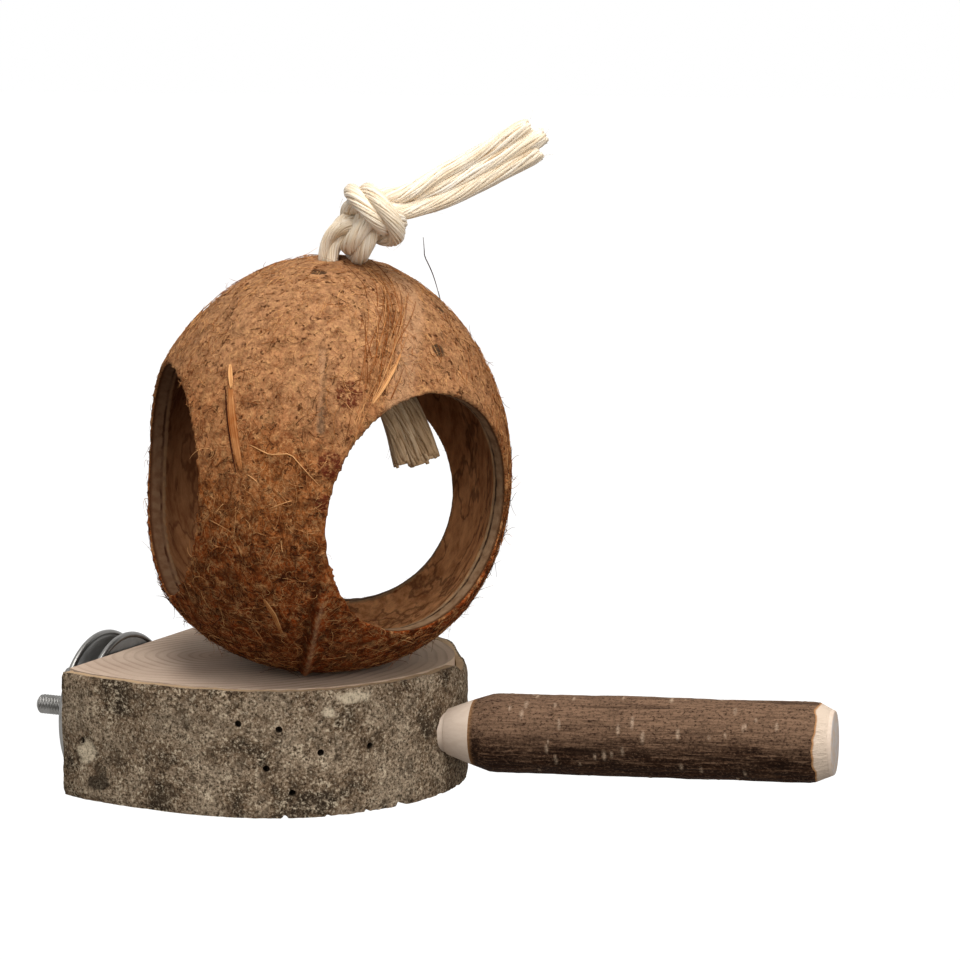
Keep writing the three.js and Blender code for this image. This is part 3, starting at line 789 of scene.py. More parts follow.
@dataclass(frozen=True)
class BarkFinish:
    """Trunk bark: fine-grained grey-brown crust with pale growth, dark stains and a tan cut edge."""

    brown: tuple = srgb(126, 104, 82)
    grey: tuple = srgb(154, 134, 111)
    dark: tuple = srgb(66, 54, 42)
    black: tuple = srgb(30, 24, 18)
    pale: tuple = srgb(212, 194, 166)
    cut: tuple = srgb(190, 160, 126)

    def material(self) -> Material:
        """Build the material.

        Returns:
            The material, which reads the attributes "pale" (1 on a pale scar, -1 on a stain, -3 inside a
            hole for painted shade) and "depth" (1 on the cut edge).
        """
        surface = Surface("trunk bark")
        g, place = surface.graph, surface.place
        broad = g.noise(place, 70.0, 5.0, Roughness=0.6)
        middle = g.noise(place, 420.0, 7.0, Roughness=0.8)
        fine = g.noise(place, 1250.0, 5.0, Roughness=0.75)
        clouds = g.noise(place, 190.0, 5.0, Roughness=0.65)
        growth = g.times(g.fit(clouds, 0.47, 0.34), g.fit(fine, 0.54, 0.4, 0.0, 0.85))
        mark = g.attribute("pale")
        surface.colour = g.ramp(broad, [(0.38, self.dark), (0.47, self.brown), (0.6, self.grey)])
        surface.coat(
            (g.fit(middle, 0.5, 0.64, 0.0, 0.85), self.dark),
            (g.fit(middle, 0.48, 0.36, 0.0, 0.7), self.grey),
            (g.fit(fine, 0.5, 0.6, 0.0, 0.8), self.black),
            (g.fit(fine, 0.46, 0.37, 0.0, 0.65), self.pale),
            (g.fit(clouds, 0.53, 0.66, 0.0, 0.6), self.dark),
            (growth, self.pale),
            (g.fit(g.noise(place, 820.0, 4.0), 0.6, 0.7, 0.0, 0.6), self.pale),
            (g.times(mark, g.fit(fine, 0.62, 0.45, 0.35, 0.95)), self.pale),
            # dark stains, and painted shade inside the holes
            (g.fit(mark, -0.1, -1.0, 0.0, 0.75), self.black),
            (g.fit(g.attribute("depth"), 0.15, 0.5), self.cut),
        )
        surface.bump(g.times(fine, -1.0), 0.7, 0.6 * MM)
        surface.bump(g.times(middle, -1.0), 0.6, 0.9 * MM)
        return surface.done(Roughness=0.95, Specular_IOR_Level=0.02)


@dataclass(frozen=True)
class PerchBarkFinish:
    """Young branch bark: dark brown with long ribs and pale pores, cut back to cream wood at its ends."""

    body: tuple = srgb(62, 38, 23)
    rib: tuple = srgb(127, 99, 78)
    groove: tuple = srgb(26, 13, 7)
    pore: tuple = srgb(170, 146, 123)
    line: tuple = srgb(168, 122, 80)
    cut: tuple = srgb(208, 188, 168)
    streak_bend: float = 2 * MM
    patch_sway: float = 20 * MM
    # heights over which painted light lifts the top and painted shade darkens the streaks below
    painted_light_top: tuple = (-8 * MM, 8 * MM)
    painted_shade_below: tuple = (-6 * MM, 6 * MM)
    bare_side: tuple = (6 * MM, -2 * MM)
    bare_foot: tuple = (-11 * MM, -4 * MM)
    crack_side: tuple = (-6 * MM, 8 * MM)

    def material(self, direction: Vector, start: Vector) -> Material:
        """Build the material, which reads "pore", "hollow" (the relief's low places, darkened as painted
        shade) and "depth" (0 outside, 1 inside).

        Args:
            direction: Direction of the branch, along which the ribs run.
            start: A point on the branch's axis.

        Returns:
            The material.
        """
        surface = Surface("perch bark")
        g = surface.graph
        turn = direction.rotation_difference(Vector((1, 0, 0))).to_euler()
        straight = g.stretch(g.vector("SUBTRACT", surface.place, tuple(start)), (1, 1, 1), turn)
        long = g.stretch(straight, (0.09, 1.0, 1.0))
        streak, height = Streaks.lay(g, long, 1150.0, self.streak_bend)
        patches = g.noise(g.stretch(straight, (0.6, 1.0, 1.0)), 150.0, 6.0, Roughness=0.65)
        above = g.math("ADD", g.axis(straight, "Z"), g.sway(patches, self.patch_sway))
        bare = g.times(g.fit(height, 0.47, 0.36), g.fit(above, *self.bare_side))
        cracks = g.noise(g.stretch(straight, (0.07, 1.0, 1.0)), 2100.0, 4.0, Roughness=0.65)
        split = g.fit(above, *self.crack_side, 0.85, 0.3)
        grain = g.noise(g.stretch(straight, (0.7, 1.0, 1.0)), 1500.0, 6.0, Roughness=0.75)
        depth = g.attribute("depth")
        surface.colour = self.body
        surface.coat(
            # painted light: rib colour laid on the top; painted shade: the streaks darken towards the
            # underside
            (g.fit(above, *self.painted_light_top), self.rib),
            (g.times(streak, g.fit(above, *self.painted_shade_below, 0.95, 0.35)), self.groove),
            (g.times(bare, g.fit(above, *self.bare_foot, 0.1, 0.8)), self.rib),
            (g.times(g.fit(cracks, 0.52, 0.6), split), self.groove),
            (g.fit(grain, 0.5, 0.62, 0.0, 0.8), self.groove),
            (g.fit(grain, 0.48, 0.36, 0.0, 0.6), self.rib),
            # painted shade in the relief's low places
            (g.fit(g.attribute("hollow"), 0.3, 0.9, 0.0, 0.7), self.groove),
            (g.times(g.attribute("pore"), g.fit(grain, 0.6, 0.42, 0.3, 0.9)), self.pore),
            (g.fit(depth, 0.06, 0.11), self.line),
            (g.fit(depth, 0.13, 0.26), self.cut),
        )
        surface.bump(g.times(height, -1.0), 0.9, 0.7 * MM)
        surface.bump(grain, 0.6, 0.4 * MM)
        return surface.done(Roughness=0.78, Specular_IOR_Level=0.04)


@dataclass(frozen=True)
class TurnedWoodFinish:
    """Freshly cut branch wood on the perch's ends, with a greyer sawn end face."""

    pale: tuple = srgb(208, 189, 171)
    grain: tuple = srgb(191, 168, 147)
    grey: tuple = srgb(190, 180, 173)
    streak_bend: float = 1 * MM
    end_face: tuple = (-0.3 * MM, -0.1 * MM)

    def material(self, direction: Vector, end: Vector) -> Material:
        """Build the material.

        Args:
            direction: Direction of the grain.
            end: Middle of the sawn end face.

        Returns:
            The material.
        """
        surface = Surface("perch wood")
        g, place = surface.graph, surface.place
        turn = direction.rotation_difference(Vector((1, 0, 0))).to_euler()
        long = g.stretch(g.stretch(place, (1, 1, 1), turn), (0.12, 1.0, 1.0))
        streak, height = Streaks.lay(g, long, 900.0, self.streak_bend)
        station = g.vector("DOT_PRODUCT", g.vector("SUBTRACT", place, tuple(end)), tuple(direction))
        sawn = g.blend(g.fit(g.noise(place, 500.0, 4.0), 0.4, 0.65), self.grey, self.grain)
        surface.colour = self.pale
        surface.coat((g.times(streak, 0.4), self.grain), (g.fit(station, *self.end_face), sawn))
        surface.bump(height, 0.25, 0.2 * MM)
        return surface.done(Roughness=0.75, Specular_IOR_Level=0.2)


@dataclass(frozen=True)
class SteelFinish:
    """Zinc-plated steel with fine brushing and a little dulling."""

    bright: tuple = srgb(132, 130, 127)
    dull: tuple = srgb(112, 110, 106)

    def material(self) -> Material:
        """Build the material on Object coordinates."""
        surface = Surface("plated steel")
        g = surface.graph
        surface.colour = self.bright
        surface.coat((g.fit(g.noise(surface.place, 260.0, 5.0), 0.25, 0.85), self.dull))
        brushed = g.noise(g.stretch(surface.place, (2500.0, 120.0, 120.0)), 1.0, 3.0)
        surface.bump(brushed, 0.12, 0.1 * MM)
        return surface.done(Metallic=1.0, Roughness=g.fit(brushed, 0.3, 0.7, 0.28, 0.42))


@dataclass(frozen=True)
class Lamp:
    """Soft square lamp: its name, its place, the length of its sides and its power in watts."""

    name: str
    place: tuple
    size: float
    power: float


@dataclass
class Studio:
    """Camera, floor and soft light."""

    camera_place: tuple = (0.4905, -0.8062, 0.2)
    camera_azimuth: float = math.radians(25)
    camera_drop: float = math.radians(7.86)
    lens_mm: float = 119.6
    sensor_mm: float = 36.0
    floor_level: float = -0.2
    floor_size: float = 40.0
    floor_colour: tuple = (0.22, 0.215, 0.21, 1.0)
    white: tuple = (1, 1, 1, 1)
    glow_reach: tuple = (0.3, 1.2)
    near_glow: float = 0.85
    far_glow: float = 1.0
    sky_light: float = 0.26
    aim: tuple = (0.07, 0.0, 0.07)
    lamps = (
        Lamp("top light", (0.3, -0.3, 1.05), 0.8, 14.0),
        Lamp("front light", (0.3, -1.3, 0.65), 0.9, 6.0),
        Lamp("side light", (1.2, -0.5, 0.4), 0.7, 6.0),
    )

    @staticmethod
    def stand(name: str, data: Any, place: Sequence[float], ahead: Vector) -> Piece:
        """Stand a camera or a lamp at a place, looking ahead."""
        item = bpy.data.objects.new(name, data)
        item.location = place
        item.rotation_mode = "QUATERNION"
        item.rotation_quaternion = ahead.to_track_quat("-Z", "Y")
        bpy.context.scene.collection.objects.link(item)
        return item

    def camera(self) -> None:
        """Make the camera at the photograph's place and angle."""
        data = bpy.data.cameras.new("camera")
        data.lens = self.lens_mm
        data.sensor_width = self.sensor_mm
        level = math.cos(self.camera_drop)
        east, north = -math.sin(self.camera_azimuth) * level, math.cos(self.camera_azimuth) * level
        ahead = Vector((east, north, -math.sin(self.camera_drop)))
        bpy.context.scene.camera = self.stand("camera", data, self.camera_place, ahead)

    @staticmethod
    def seen(g: Graph) -> Any:
        """Socket with 1 for rays that show the background: straight, mirrored or through glass."""
        path = g.add("LightPath")
        seen = g.math("MAXIMUM", path.outputs["Is Camera Ray"], path.outputs["Is Glossy Ray"])
        return g.math("MAXIMUM", seen, path.outputs["Is Transmission Ray"])

    def floor(self) -> None:
        """Lay the plain pale floor, which shows white and keeps its shadows."""
        Bench.clear()
        bpy.ops.mesh.primitive_plane_add(size=self.floor_size, location=(0, 0, self.floor_level))
        floor = Bench.take("floor")
        surface = Surface("pale floor")
        g = surface.graph
        surface.colour = self.floor_colour
        glow = g.fit(g.vector("LENGTH", surface.place), *self.glow_reach, self.near_glow, self.far_glow)
        light = {"Emission_Color": self.white, "Emission_Strength": g.times(self.seen(g), glow)}
        floor.data.materials.append(surface.done(Roughness=0.9, Specular_IOR_Level=0.0, **light))

    def light(self) -> None:
        """Set the sky and the lamps, which look at the coconut."""
        world = bpy.data.worlds.new("sky")
        world.use_nodes = True
        bpy.context.scene.world = world
        g = Graph(world.node_tree)
        strength = g.math("ADD", g.times(self.seen(g), 1 - self.sky_light), self.sky_light)
        background = world.node_tree.nodes["Background"]
        g.give(background.inputs["Color"], self.white)
        g.give(background.inputs["Strength"], strength)
        for lamp in self.lamps:
            data = bpy.data.lights.new(lamp.name, "AREA")
            data.size = lamp.size
            data.energy = lamp.power
            self.stand(lamp.name, data, lamp.place, Vector(self.aim) - Vector(lamp.place))
        bpy.context.scene.view_settings.view_transform = "Standard"


@dataclass(frozen=True)
class RopeEnd:
    """How the strands of a cut rope lie side by side: places in the row, cuts, and the end's opening."""

    row: tuple
    spread: tuple
    reach: float
    swelling: float
    ragged: float
    rounding: float
    cuts: tuple
    phase: float


@dataclass(frozen=True)
class KnotPlace:
    """Where a knot sits: its centre, its tilt, its roll about its own length, and its hand."""

    centre: tuple
    tilt: float
    roll: float
    hand: int


@dataclass
class SisalRope:
    """Three-strand rope, knotted above and below the crown, with opened ends."""

    centre: tuple = SHELL_CENTRE
    azimuth: float = math.radians(25)
    knot_pitch: float = 6.5 * MM
    knot_stretch: float = 1.3
    tail_radius: float = 4.2 * MM
    knot_radius: float = 4.5 * MM
    neck_radius: float = 3.1 * MM
    strands: int = 3
    yarns: int = 34
    knot_lay: float = 52 * MM
    tail_lay: float = 150 * MM
    outer_knot = KnotPlace((13.6, 10, 149.5), math.radians(24), math.radians(258), -1)
    inner_knot = KnotPlace((7.4, 6.5, 117.5), math.radians(-35), 0.0, 1)
    spans: int = 10
    station_step: float = 1.4 * MM
    strand_place: float = 0.52
    strand_size: float = 0.5
    flat_growth: float = 0.16
    yarn_turns: float = 1.4
    yarn_depth: tuple = (0.86, 0.07)
    yarn_tone: tuple = (0.6, 0.13)
    wobble: float = 0.2
    wobbles: int = 5
    yarn_size: float = 0.16
    yarn_variety: float = 0.06
    core_size: float = 0.93
    core_tone: float = 0.5
    yarn_sides: int = 6
    fibre_sides: int = 3
    fibre_stations: int = 7
    fibre_rise: tuple = (0.05, 0.6)
    fibre_bend: float = 1.2
    fibre_radii: tuple = (0.04, 0.08)
    outer_seed: int = 11
    inner_seed: int = 12
    strays: int = 18
    stray_lengths: tuple = (3 * MM, 8 * MM)
    fuzz: int = 100
    fuzz_lengths: tuple = (1.5 * MM, 4.5 * MM)
    sisal = StrandFinish(
        "sisal", srgb(194, 158, 114), srgb(220, 200, 171), srgb(238, 226, 208), 0.45, 0.35
    )
    # a darker copy of the sisal for the rope's inner half: painted shade
    sisal_shaded = StrandFinish(
        "sisal shaded", srgb(124, 92, 58), srgb(176, 142, 104), srgb(212, 184, 148), 0.55, 0.35
    )
    blunt = RopeEnd(
        row=(3.6 * MM, 0.2 * MM, -3.3 * MM),
        spread=(0.9 * MM, 0.0, 0.0),
        reach=0.2,
        swelling=0.08,
        ragged=1.2 * MM,
        rounding=0.35,
        cuts=(2.6 * MM, 0.0, 3.2 * MM),
        phase=1.8,
    )
    brush = RopeEnd(
        row=(3.1 * MM, 0.0, -3.1 * MM),
        spread=(0.7 * MM, 0.1 * MM, -0.7 * MM),
        reach=0.22,
        swelling=0.22,
        ragged=3.4 * MM,
        rounding=0.0,
        cuts=(2.4 * MM, 1.6 * MM, 3.0 * MM),
        phase=0.4,
    )

    knot_half = (
        (0, 0, -1.03),
        (-0.12, 0.68, -0.98),
        (-0.32, 1.28, -0.62),
        (-0.56, 1.46, 0.06),
        (-0.73, 1.05, 0.68),
        (-0.7, 0.34, 0.87),
        (-0.42, -0.3, 0.62),
        (0.1, -0.53, 0.13),
        (0.8, -0.48, -0.2),
    )
    outer_tail = ((61.5, 10, 172.2), (47.5, 10, 165), (34.5, 10.5, 158.6), (23.5, 11.8, 154.6))
    neck = ((3.6, 6, 143.2), (2.6, 5.4, 137), (2.6, 5, 130.5))
    inner_tail = ((17, 5, 105), (21, 5, 98.5), (24.5, 5, 90), (27.5, 5, 80))

    def place(self, points: Sequence[Sequence[float]]) -> Rows:
        """Turn points given along, across and up in millimetres into the frame."""
        along, across, up = np.asarray(points, float).T * MM
        c, s = math.cos(self.azimuth), math.sin(self.azimuth)
        east = self.centre[0] + along * c + across * s
        return np.stack([east, self.centre[1] + along * s - across * c, up], axis=1)

    def knot(self, where: KnotPlace) -> Rows:
        """Points of an overhand knot from its outlet to its inlet."""
        half = list(self.knot_half)
        axial, side, deep = np.array(half[::-1] + [(-x, -y, z) for x, y, z in half[1:]]).T
        x = self.knot_stretch * axial
        deep = where.hand * deep
        y = side * math.cos(where.roll) - deep * math.sin(where.roll)
        z = side * math.sin(where.roll) + deep * math.cos(where.roll)
        along = x * math.cos(where.tilt) - y * math.sin(where.tilt)
        up = x * math.sin(where.tilt) + y * math.cos(where.tilt)
        pitch = self.knot_pitch / MM
        return self.place(np.array(where.centre) + pitch * np.stack([along, z, up], axis=1))

    def route(self) -> tuple[Rows, list[int]]:
        """Run one smooth curve through the whole rope.

        Returns:
            Its points, and the point numbers of the outer knot, the neck's middle and the inner tail.
        """
        parts = [
            self.place(self.outer_tail),
            self.knot(self.outer_knot),
            self.place(self.neck),
            self.knot(self.inner_knot)[::-1],
            self.place(self.inner_tail),
        ]
        curve = self.smooth_curve(np.concatenate(parts))
        counts = np.cumsum([len(part) for part in parts])
        return curve, [int(k) * self.spans for k in (counts[0] - 1, counts[1] + 1, counts[3])]

    def smooth_curve(self, points: Rows) -> Rows:
        """Centripetal Catmull-Rom curve through points."""
        padded = np.concatenate([[2 * points[0] - points[1]], points, [2 * points[-1] - points[-2]]])
        out = []
        for i in range(len(points) - 1):
            a, b, c, d = padded[i : i + 4]
            t1 = math.sqrt(np.linalg.norm(b - a))
            t2 = t1 + math.sqrt(np.linalg.norm(c - b))
            t3 = t2 + math.sqrt(np.linalg.norm(d - c))
            for t in t1 + (t2 - t1) * np.arange(self.spans) / self.spans:
                ab = (t1 - t) / t1 * a + t / t1 * b
                bc = (t2 - t) / (t2 - t1) * b + (t - t1) / (t2 - t1) * c
                cd = (t3 - t) / (t3 - t2) * c + (t - t2) / (t3 - t2) * d
                abc = (t2 - t) / t2 * ab + t / t2 * bc
                bcd = (t3 - t) / (t3 - t1) * bc + (t - t1) / (t3 - t1) * cd
                out.append((t2 - t) / (t2 - t1) * abc + (t - t1) / (t2 - t1) * bcd)
        out.append(points[-1])
        return np.array(out)

    def even(self, line: Rows) -> Rows:
        """The line again with points about a station's step apart."""
        along = np.concatenate([[0], np.cumsum(np.linalg.norm(np.diff(line, axis=0), axis=1))])
        at = np.linspace(0, along[-1], int(round(along[-1] / self.station_step)))
        return np.stack([np.interp(at, along, line[:, k]) for k in range(3)], axis=1)

    @staticmethod
    def frames(line: Rows) -> tuple[Rows, Rows, Rows]:
        """Directions along and across a line that twist as little as they can.

        Args:
            line: Points of the line.

        Returns:
            Tangents and two directions across.
        """
        tangents = unit(np.gradient(line, axis=0))
        across = unit(np.cross(tangents[0], (0.0, 1.0, 0.3)))
        first = [across]
        for after in tangents[1:]:
            across = across - after * float(across @ after)
            across = across / np.linalg.norm(across)
            first.append(across)
        first = np.array(first)
        return tangents, first, np.cross(tangents, first)

    def cord(self, name: str, line: Rows, tail: float, end: RopeEnd, seed: int) -> Piece:
        """Lay strands of many yarns round a line.

        Args:
            name: Name of the piece.
            line: Points of the rope's middle, from its fixed to its free end.
            tail: Share of the line at which the tail starts.
            end: How the strands open at the free end.
            seed: Seed of the yarns' small differences.

        Returns:
            The rope as one mesh.
        """
        chance = np.random.default_rng(seed)
        tangents, across, over = self.frames(line)
        share = np.linspace(0, 1, len(line))
        radii = self.radii(share, tail)
        front = np.array((math.sin(self.azimuth), -math.cos(self.azimuth), 0.0))
        upward = unit(np.cross(tangents, front))
        upward = upward * np.where(upward[:, 2:] < 0, -1.0, 1.0)
        flat = smooth_step(tail - 0.06, tail + 0.35 * (1 - tail), share)
        fanned = smooth_step(1 - end.reach, 1.0, share) ** 1.5
        free = smooth_step(tail - 0.05, tail + 0.08, share)
        rate = (1 - free) / self.knot_lay + free / self.tail_lay
        step = np.linalg.norm(line[1] - line[0])
        twist = 2 * math.pi * np.cumsum(rate) * step
        twist = twist - twist[-1] + end.phase
        paths, ups, sizes, tones = [], [], [], []
        angles = [twist + 2 * math.pi * strand / self.strands for strand in range(self.strands)]
        outs = [np.cos(angle)[:, None] * across + np.sin(angle)[:, None] * over for angle in angles]
        start = int(tail * len(line))
        ranks = np.argsort(np.argsort([-float(out[start] @ upward[start]) for out in outs]))
        for rank, out in zip(ranks, outs):
            aside = (end.row[rank] + end.spread[rank] * fanned) * flat
            laid = self.strand_place * radii * (1 - flat)
            middle = line + out * laid[:, None] + upward * aside[:, None]
            growth = end.swelling * fanned + self.flat_growth * flat
            thick = self.strand_size * radii * (1 + growth)
            last = len(line) - 1 - end.cuts[rank] / self.station_step
            for yarn in range(self.yarns):
                wave = 2 * math.pi * (share * self.wobbles + chance.random())
                wobble = self.wobble * np.sin(wave)
                turn = 2 * math.pi * yarn / self.yarns - self.yarn_turns * twist + wobble
                yarn_out = np.cos(turn)[:, None] * across + np.sin(turn)[:, None] * over
                depth = thick * (self.yarn_depth[0] + self.yarn_depth[1] * chance.random())
                depth = depth * (1 - end.rounding * smooth_step(last - 2, last, np.arange(len(line))))
                at = np.linspace(0, last - chance.random() * end.ragged / self.station_step, len(line))
                at = np.clip(at, 0, len(line) - 1)
                paths.append(self.between(middle + yarn_out * depth[:, None], at))
                ups.append(self.between(yarn_out, at))
                size = self.yarn_size + self.yarn_variety * chance.random()
                sizes.append(self.between(thick, at) * size)
                tones.append(chance.normal(*self.yarn_tone))
            at = np.linspace(0, last - 0.5, len(line))
            paths.append(self.between(middle, at))
            ups.append(self.between(out, at))
            sizes.append(self.between(thick, at) * self.core_size)
            tones.append(self.core_tone)
        rows = [np.array(store) for store in (paths, ups, sizes)]
        return tube_bundle(name, *rows, self.yarn_sides, np.array(tones))

    @staticmethod
    def between(rows: Rows, at: Rows) -> Rows:
        """Rows, or single values, read off between their stations."""
        columns = rows.reshape(len(rows), -1).T
        found = [np.interp(at, np.arange(len(rows)), column) for column in columns]
        return np.stack(found, axis=1).reshape(len(at), *rows.shape[1:])

    def radii(self, share: Rows, tail: float) -> Rows:
        """Radius of the rope at shares of its length: thin in the hole, full in the tail."""
        radii = self.neck_radius + (self.knot_radius - self.neck_radius) * smooth_step(0.03, 0.1, share)
        in_tail = smooth_step(tail - 0.03, tail + 0.04, share)
        return radii + (self.tail_radius - self.knot_radius) * in_tail

    def whiskers(
        self, name: str, line: Rows, radii: Rows, count: int, lengths: tuple, seed: int
    ) -> Piece:
        """Make the stray fibres that stand off the rope's sides.

        Args:
            name: Name of the piece.
            line: Points of the rope's middle.
            radii: Radius of the rope at each point.
            count: Number of fibres.
            lengths: Shortest and longest of them.
            seed: Seed of their differences.

        Returns:
            The fibres as one mesh.
        """
        chance = np.random.default_rng(seed)
        tangents, across, over = self.frames(line)
        stations = self.fibre_stations
        at = chance.integers(2, len(line) - 1, count)
        turn = chance.uniform(0, 2 * math.pi, count)
        out = np.cos(turn)[:, None] * across[at] + np.sin(turn)[:, None] * over[at]
        heading = unit(tangents[at] + out * chance.uniform(*self.fibre_rise, (count, 1)))
        side = np.cross(out, tangents[at]) * chance.normal(0, self.fibre_bend, (count, 1))
        length = chance.uniform(*lengths, count)
        t = np.linspace(0, 1, stations)
        start = line[at] + out * (radii[at] * 0.95)[:, None]
        paths = (
            start[:, None]
            + heading[:, None] * (length[:, None] * t)[:, :, None]
            + (side + out * 0.2)[:, None] * (length[:, None] * t**2 * 0.5)[:, :, None]
        )
        ups = np.repeat(out[:, None], stations, axis=1)
        fine = chance.uniform(*self.fibre_radii, count)[:, None] * MM * (1 - 0.5 * t)[None]
        return tube_bundle(name, paths, ups, fine, self.fibre_sides, chance.random(count))

    def build(self) -> None:
        curve, (outer_knot, neck, inner_tail) = self.route()
        outer = self.even(curve[: neck + 1][::-1])
        inner = self.even(curve[neck:])
        nodes = ("rope_outer_tail", "rope_outer_knot")
        share = self.tail_share(outer, curve[outer_knot])
        finish = self.sisal.material()
        self.half("rope_outer", outer, share, self.blunt, finish, nodes, self.outer_seed)
        nodes = ("rope_inner_knot", "rope_inner_tail")
        share = self.tail_share(inner, curve[inner_tail])
        # the inner half takes the darker copy of the sisal, as painted shade
        finish = self.sisal_shaded.material()
        self.half("rope_inner", inner, share, self.brush, finish, nodes, self.inner_seed)

    @staticmethod
    def tail_share(line: Rows, mark: Rows) -> float:
        """Share of the line at which the tail starts."""
        return float(np.argmin(np.linalg.norm(line - mark, axis=1))) / len(line)

    def half(
        self,
        name: str,
        line: Rows,
        tail: float,
        end: RopeEnd,
        finish: Material,
        nodes: Sequence[str],
        seed: int,
    ) -> None:
        """Make one half of the rope with its knot, its tail and its stray fibres.

        Args:
            name: Name of the piece.
            line: Its middle, from the shell's hole to the free end.
            tail: Share of the line at which the tail starts.
            end: How its free end opens.
            finish: Its material.
            nodes: CAD nodes that it stands for.
            seed: Seed of its small differences.
        """
        ahead = np.outer((1, 2), line[-1] - line[-2])
        rope = self.cord(name, np.concatenate([line, line[-1] + ahead]), tail, end, seed)
        Bench.deliver(rope, Body.HOUSE, Slot.ROPE, finish, nodes)
        radii = self.radii(np.linspace(0, 1, len(line)), tail)
        first = int(tail * len(line))
        tail_fibres = (line[first:], radii[first:], self.strays, self.stray_lengths, seed + 2)
        stray = self.whiskers(name + "_whiskers", *tail_fibres)
        Bench.deliver(stray, Body.HOUSE, Slot.ROPE, finish)
        fuzz = self.whiskers(name + "_fuzz", line, radii, self.fuzz, self.fuzz_lengths, seed + 3)
        Bench.deliver(fuzz, Body.HOUSE, Slot.ROPE, finish)


@dataclass
class Mouth:
    """One round saw-cut mouth of the shell."""

    azimuth: float
    radius: float
    height: float


@dataclass(frozen=True)
class Strip:
    """Torn strip or hair on the shell: azimuth, rise and lift in mm along it, its width and its tone."""

    route: tuple
    width: float
    tone: float


@dataclass(frozen=True)
class Fibres:
    """A kind of loose fibre: number, ranges of length, radius and lift, and how it lies."""

    count: int
    lengths: tuple
    radii: tuple
    lift: tuple
    low_bias: float
    wander: float
    curl: float
    stations: int
    tone: float = 0.6


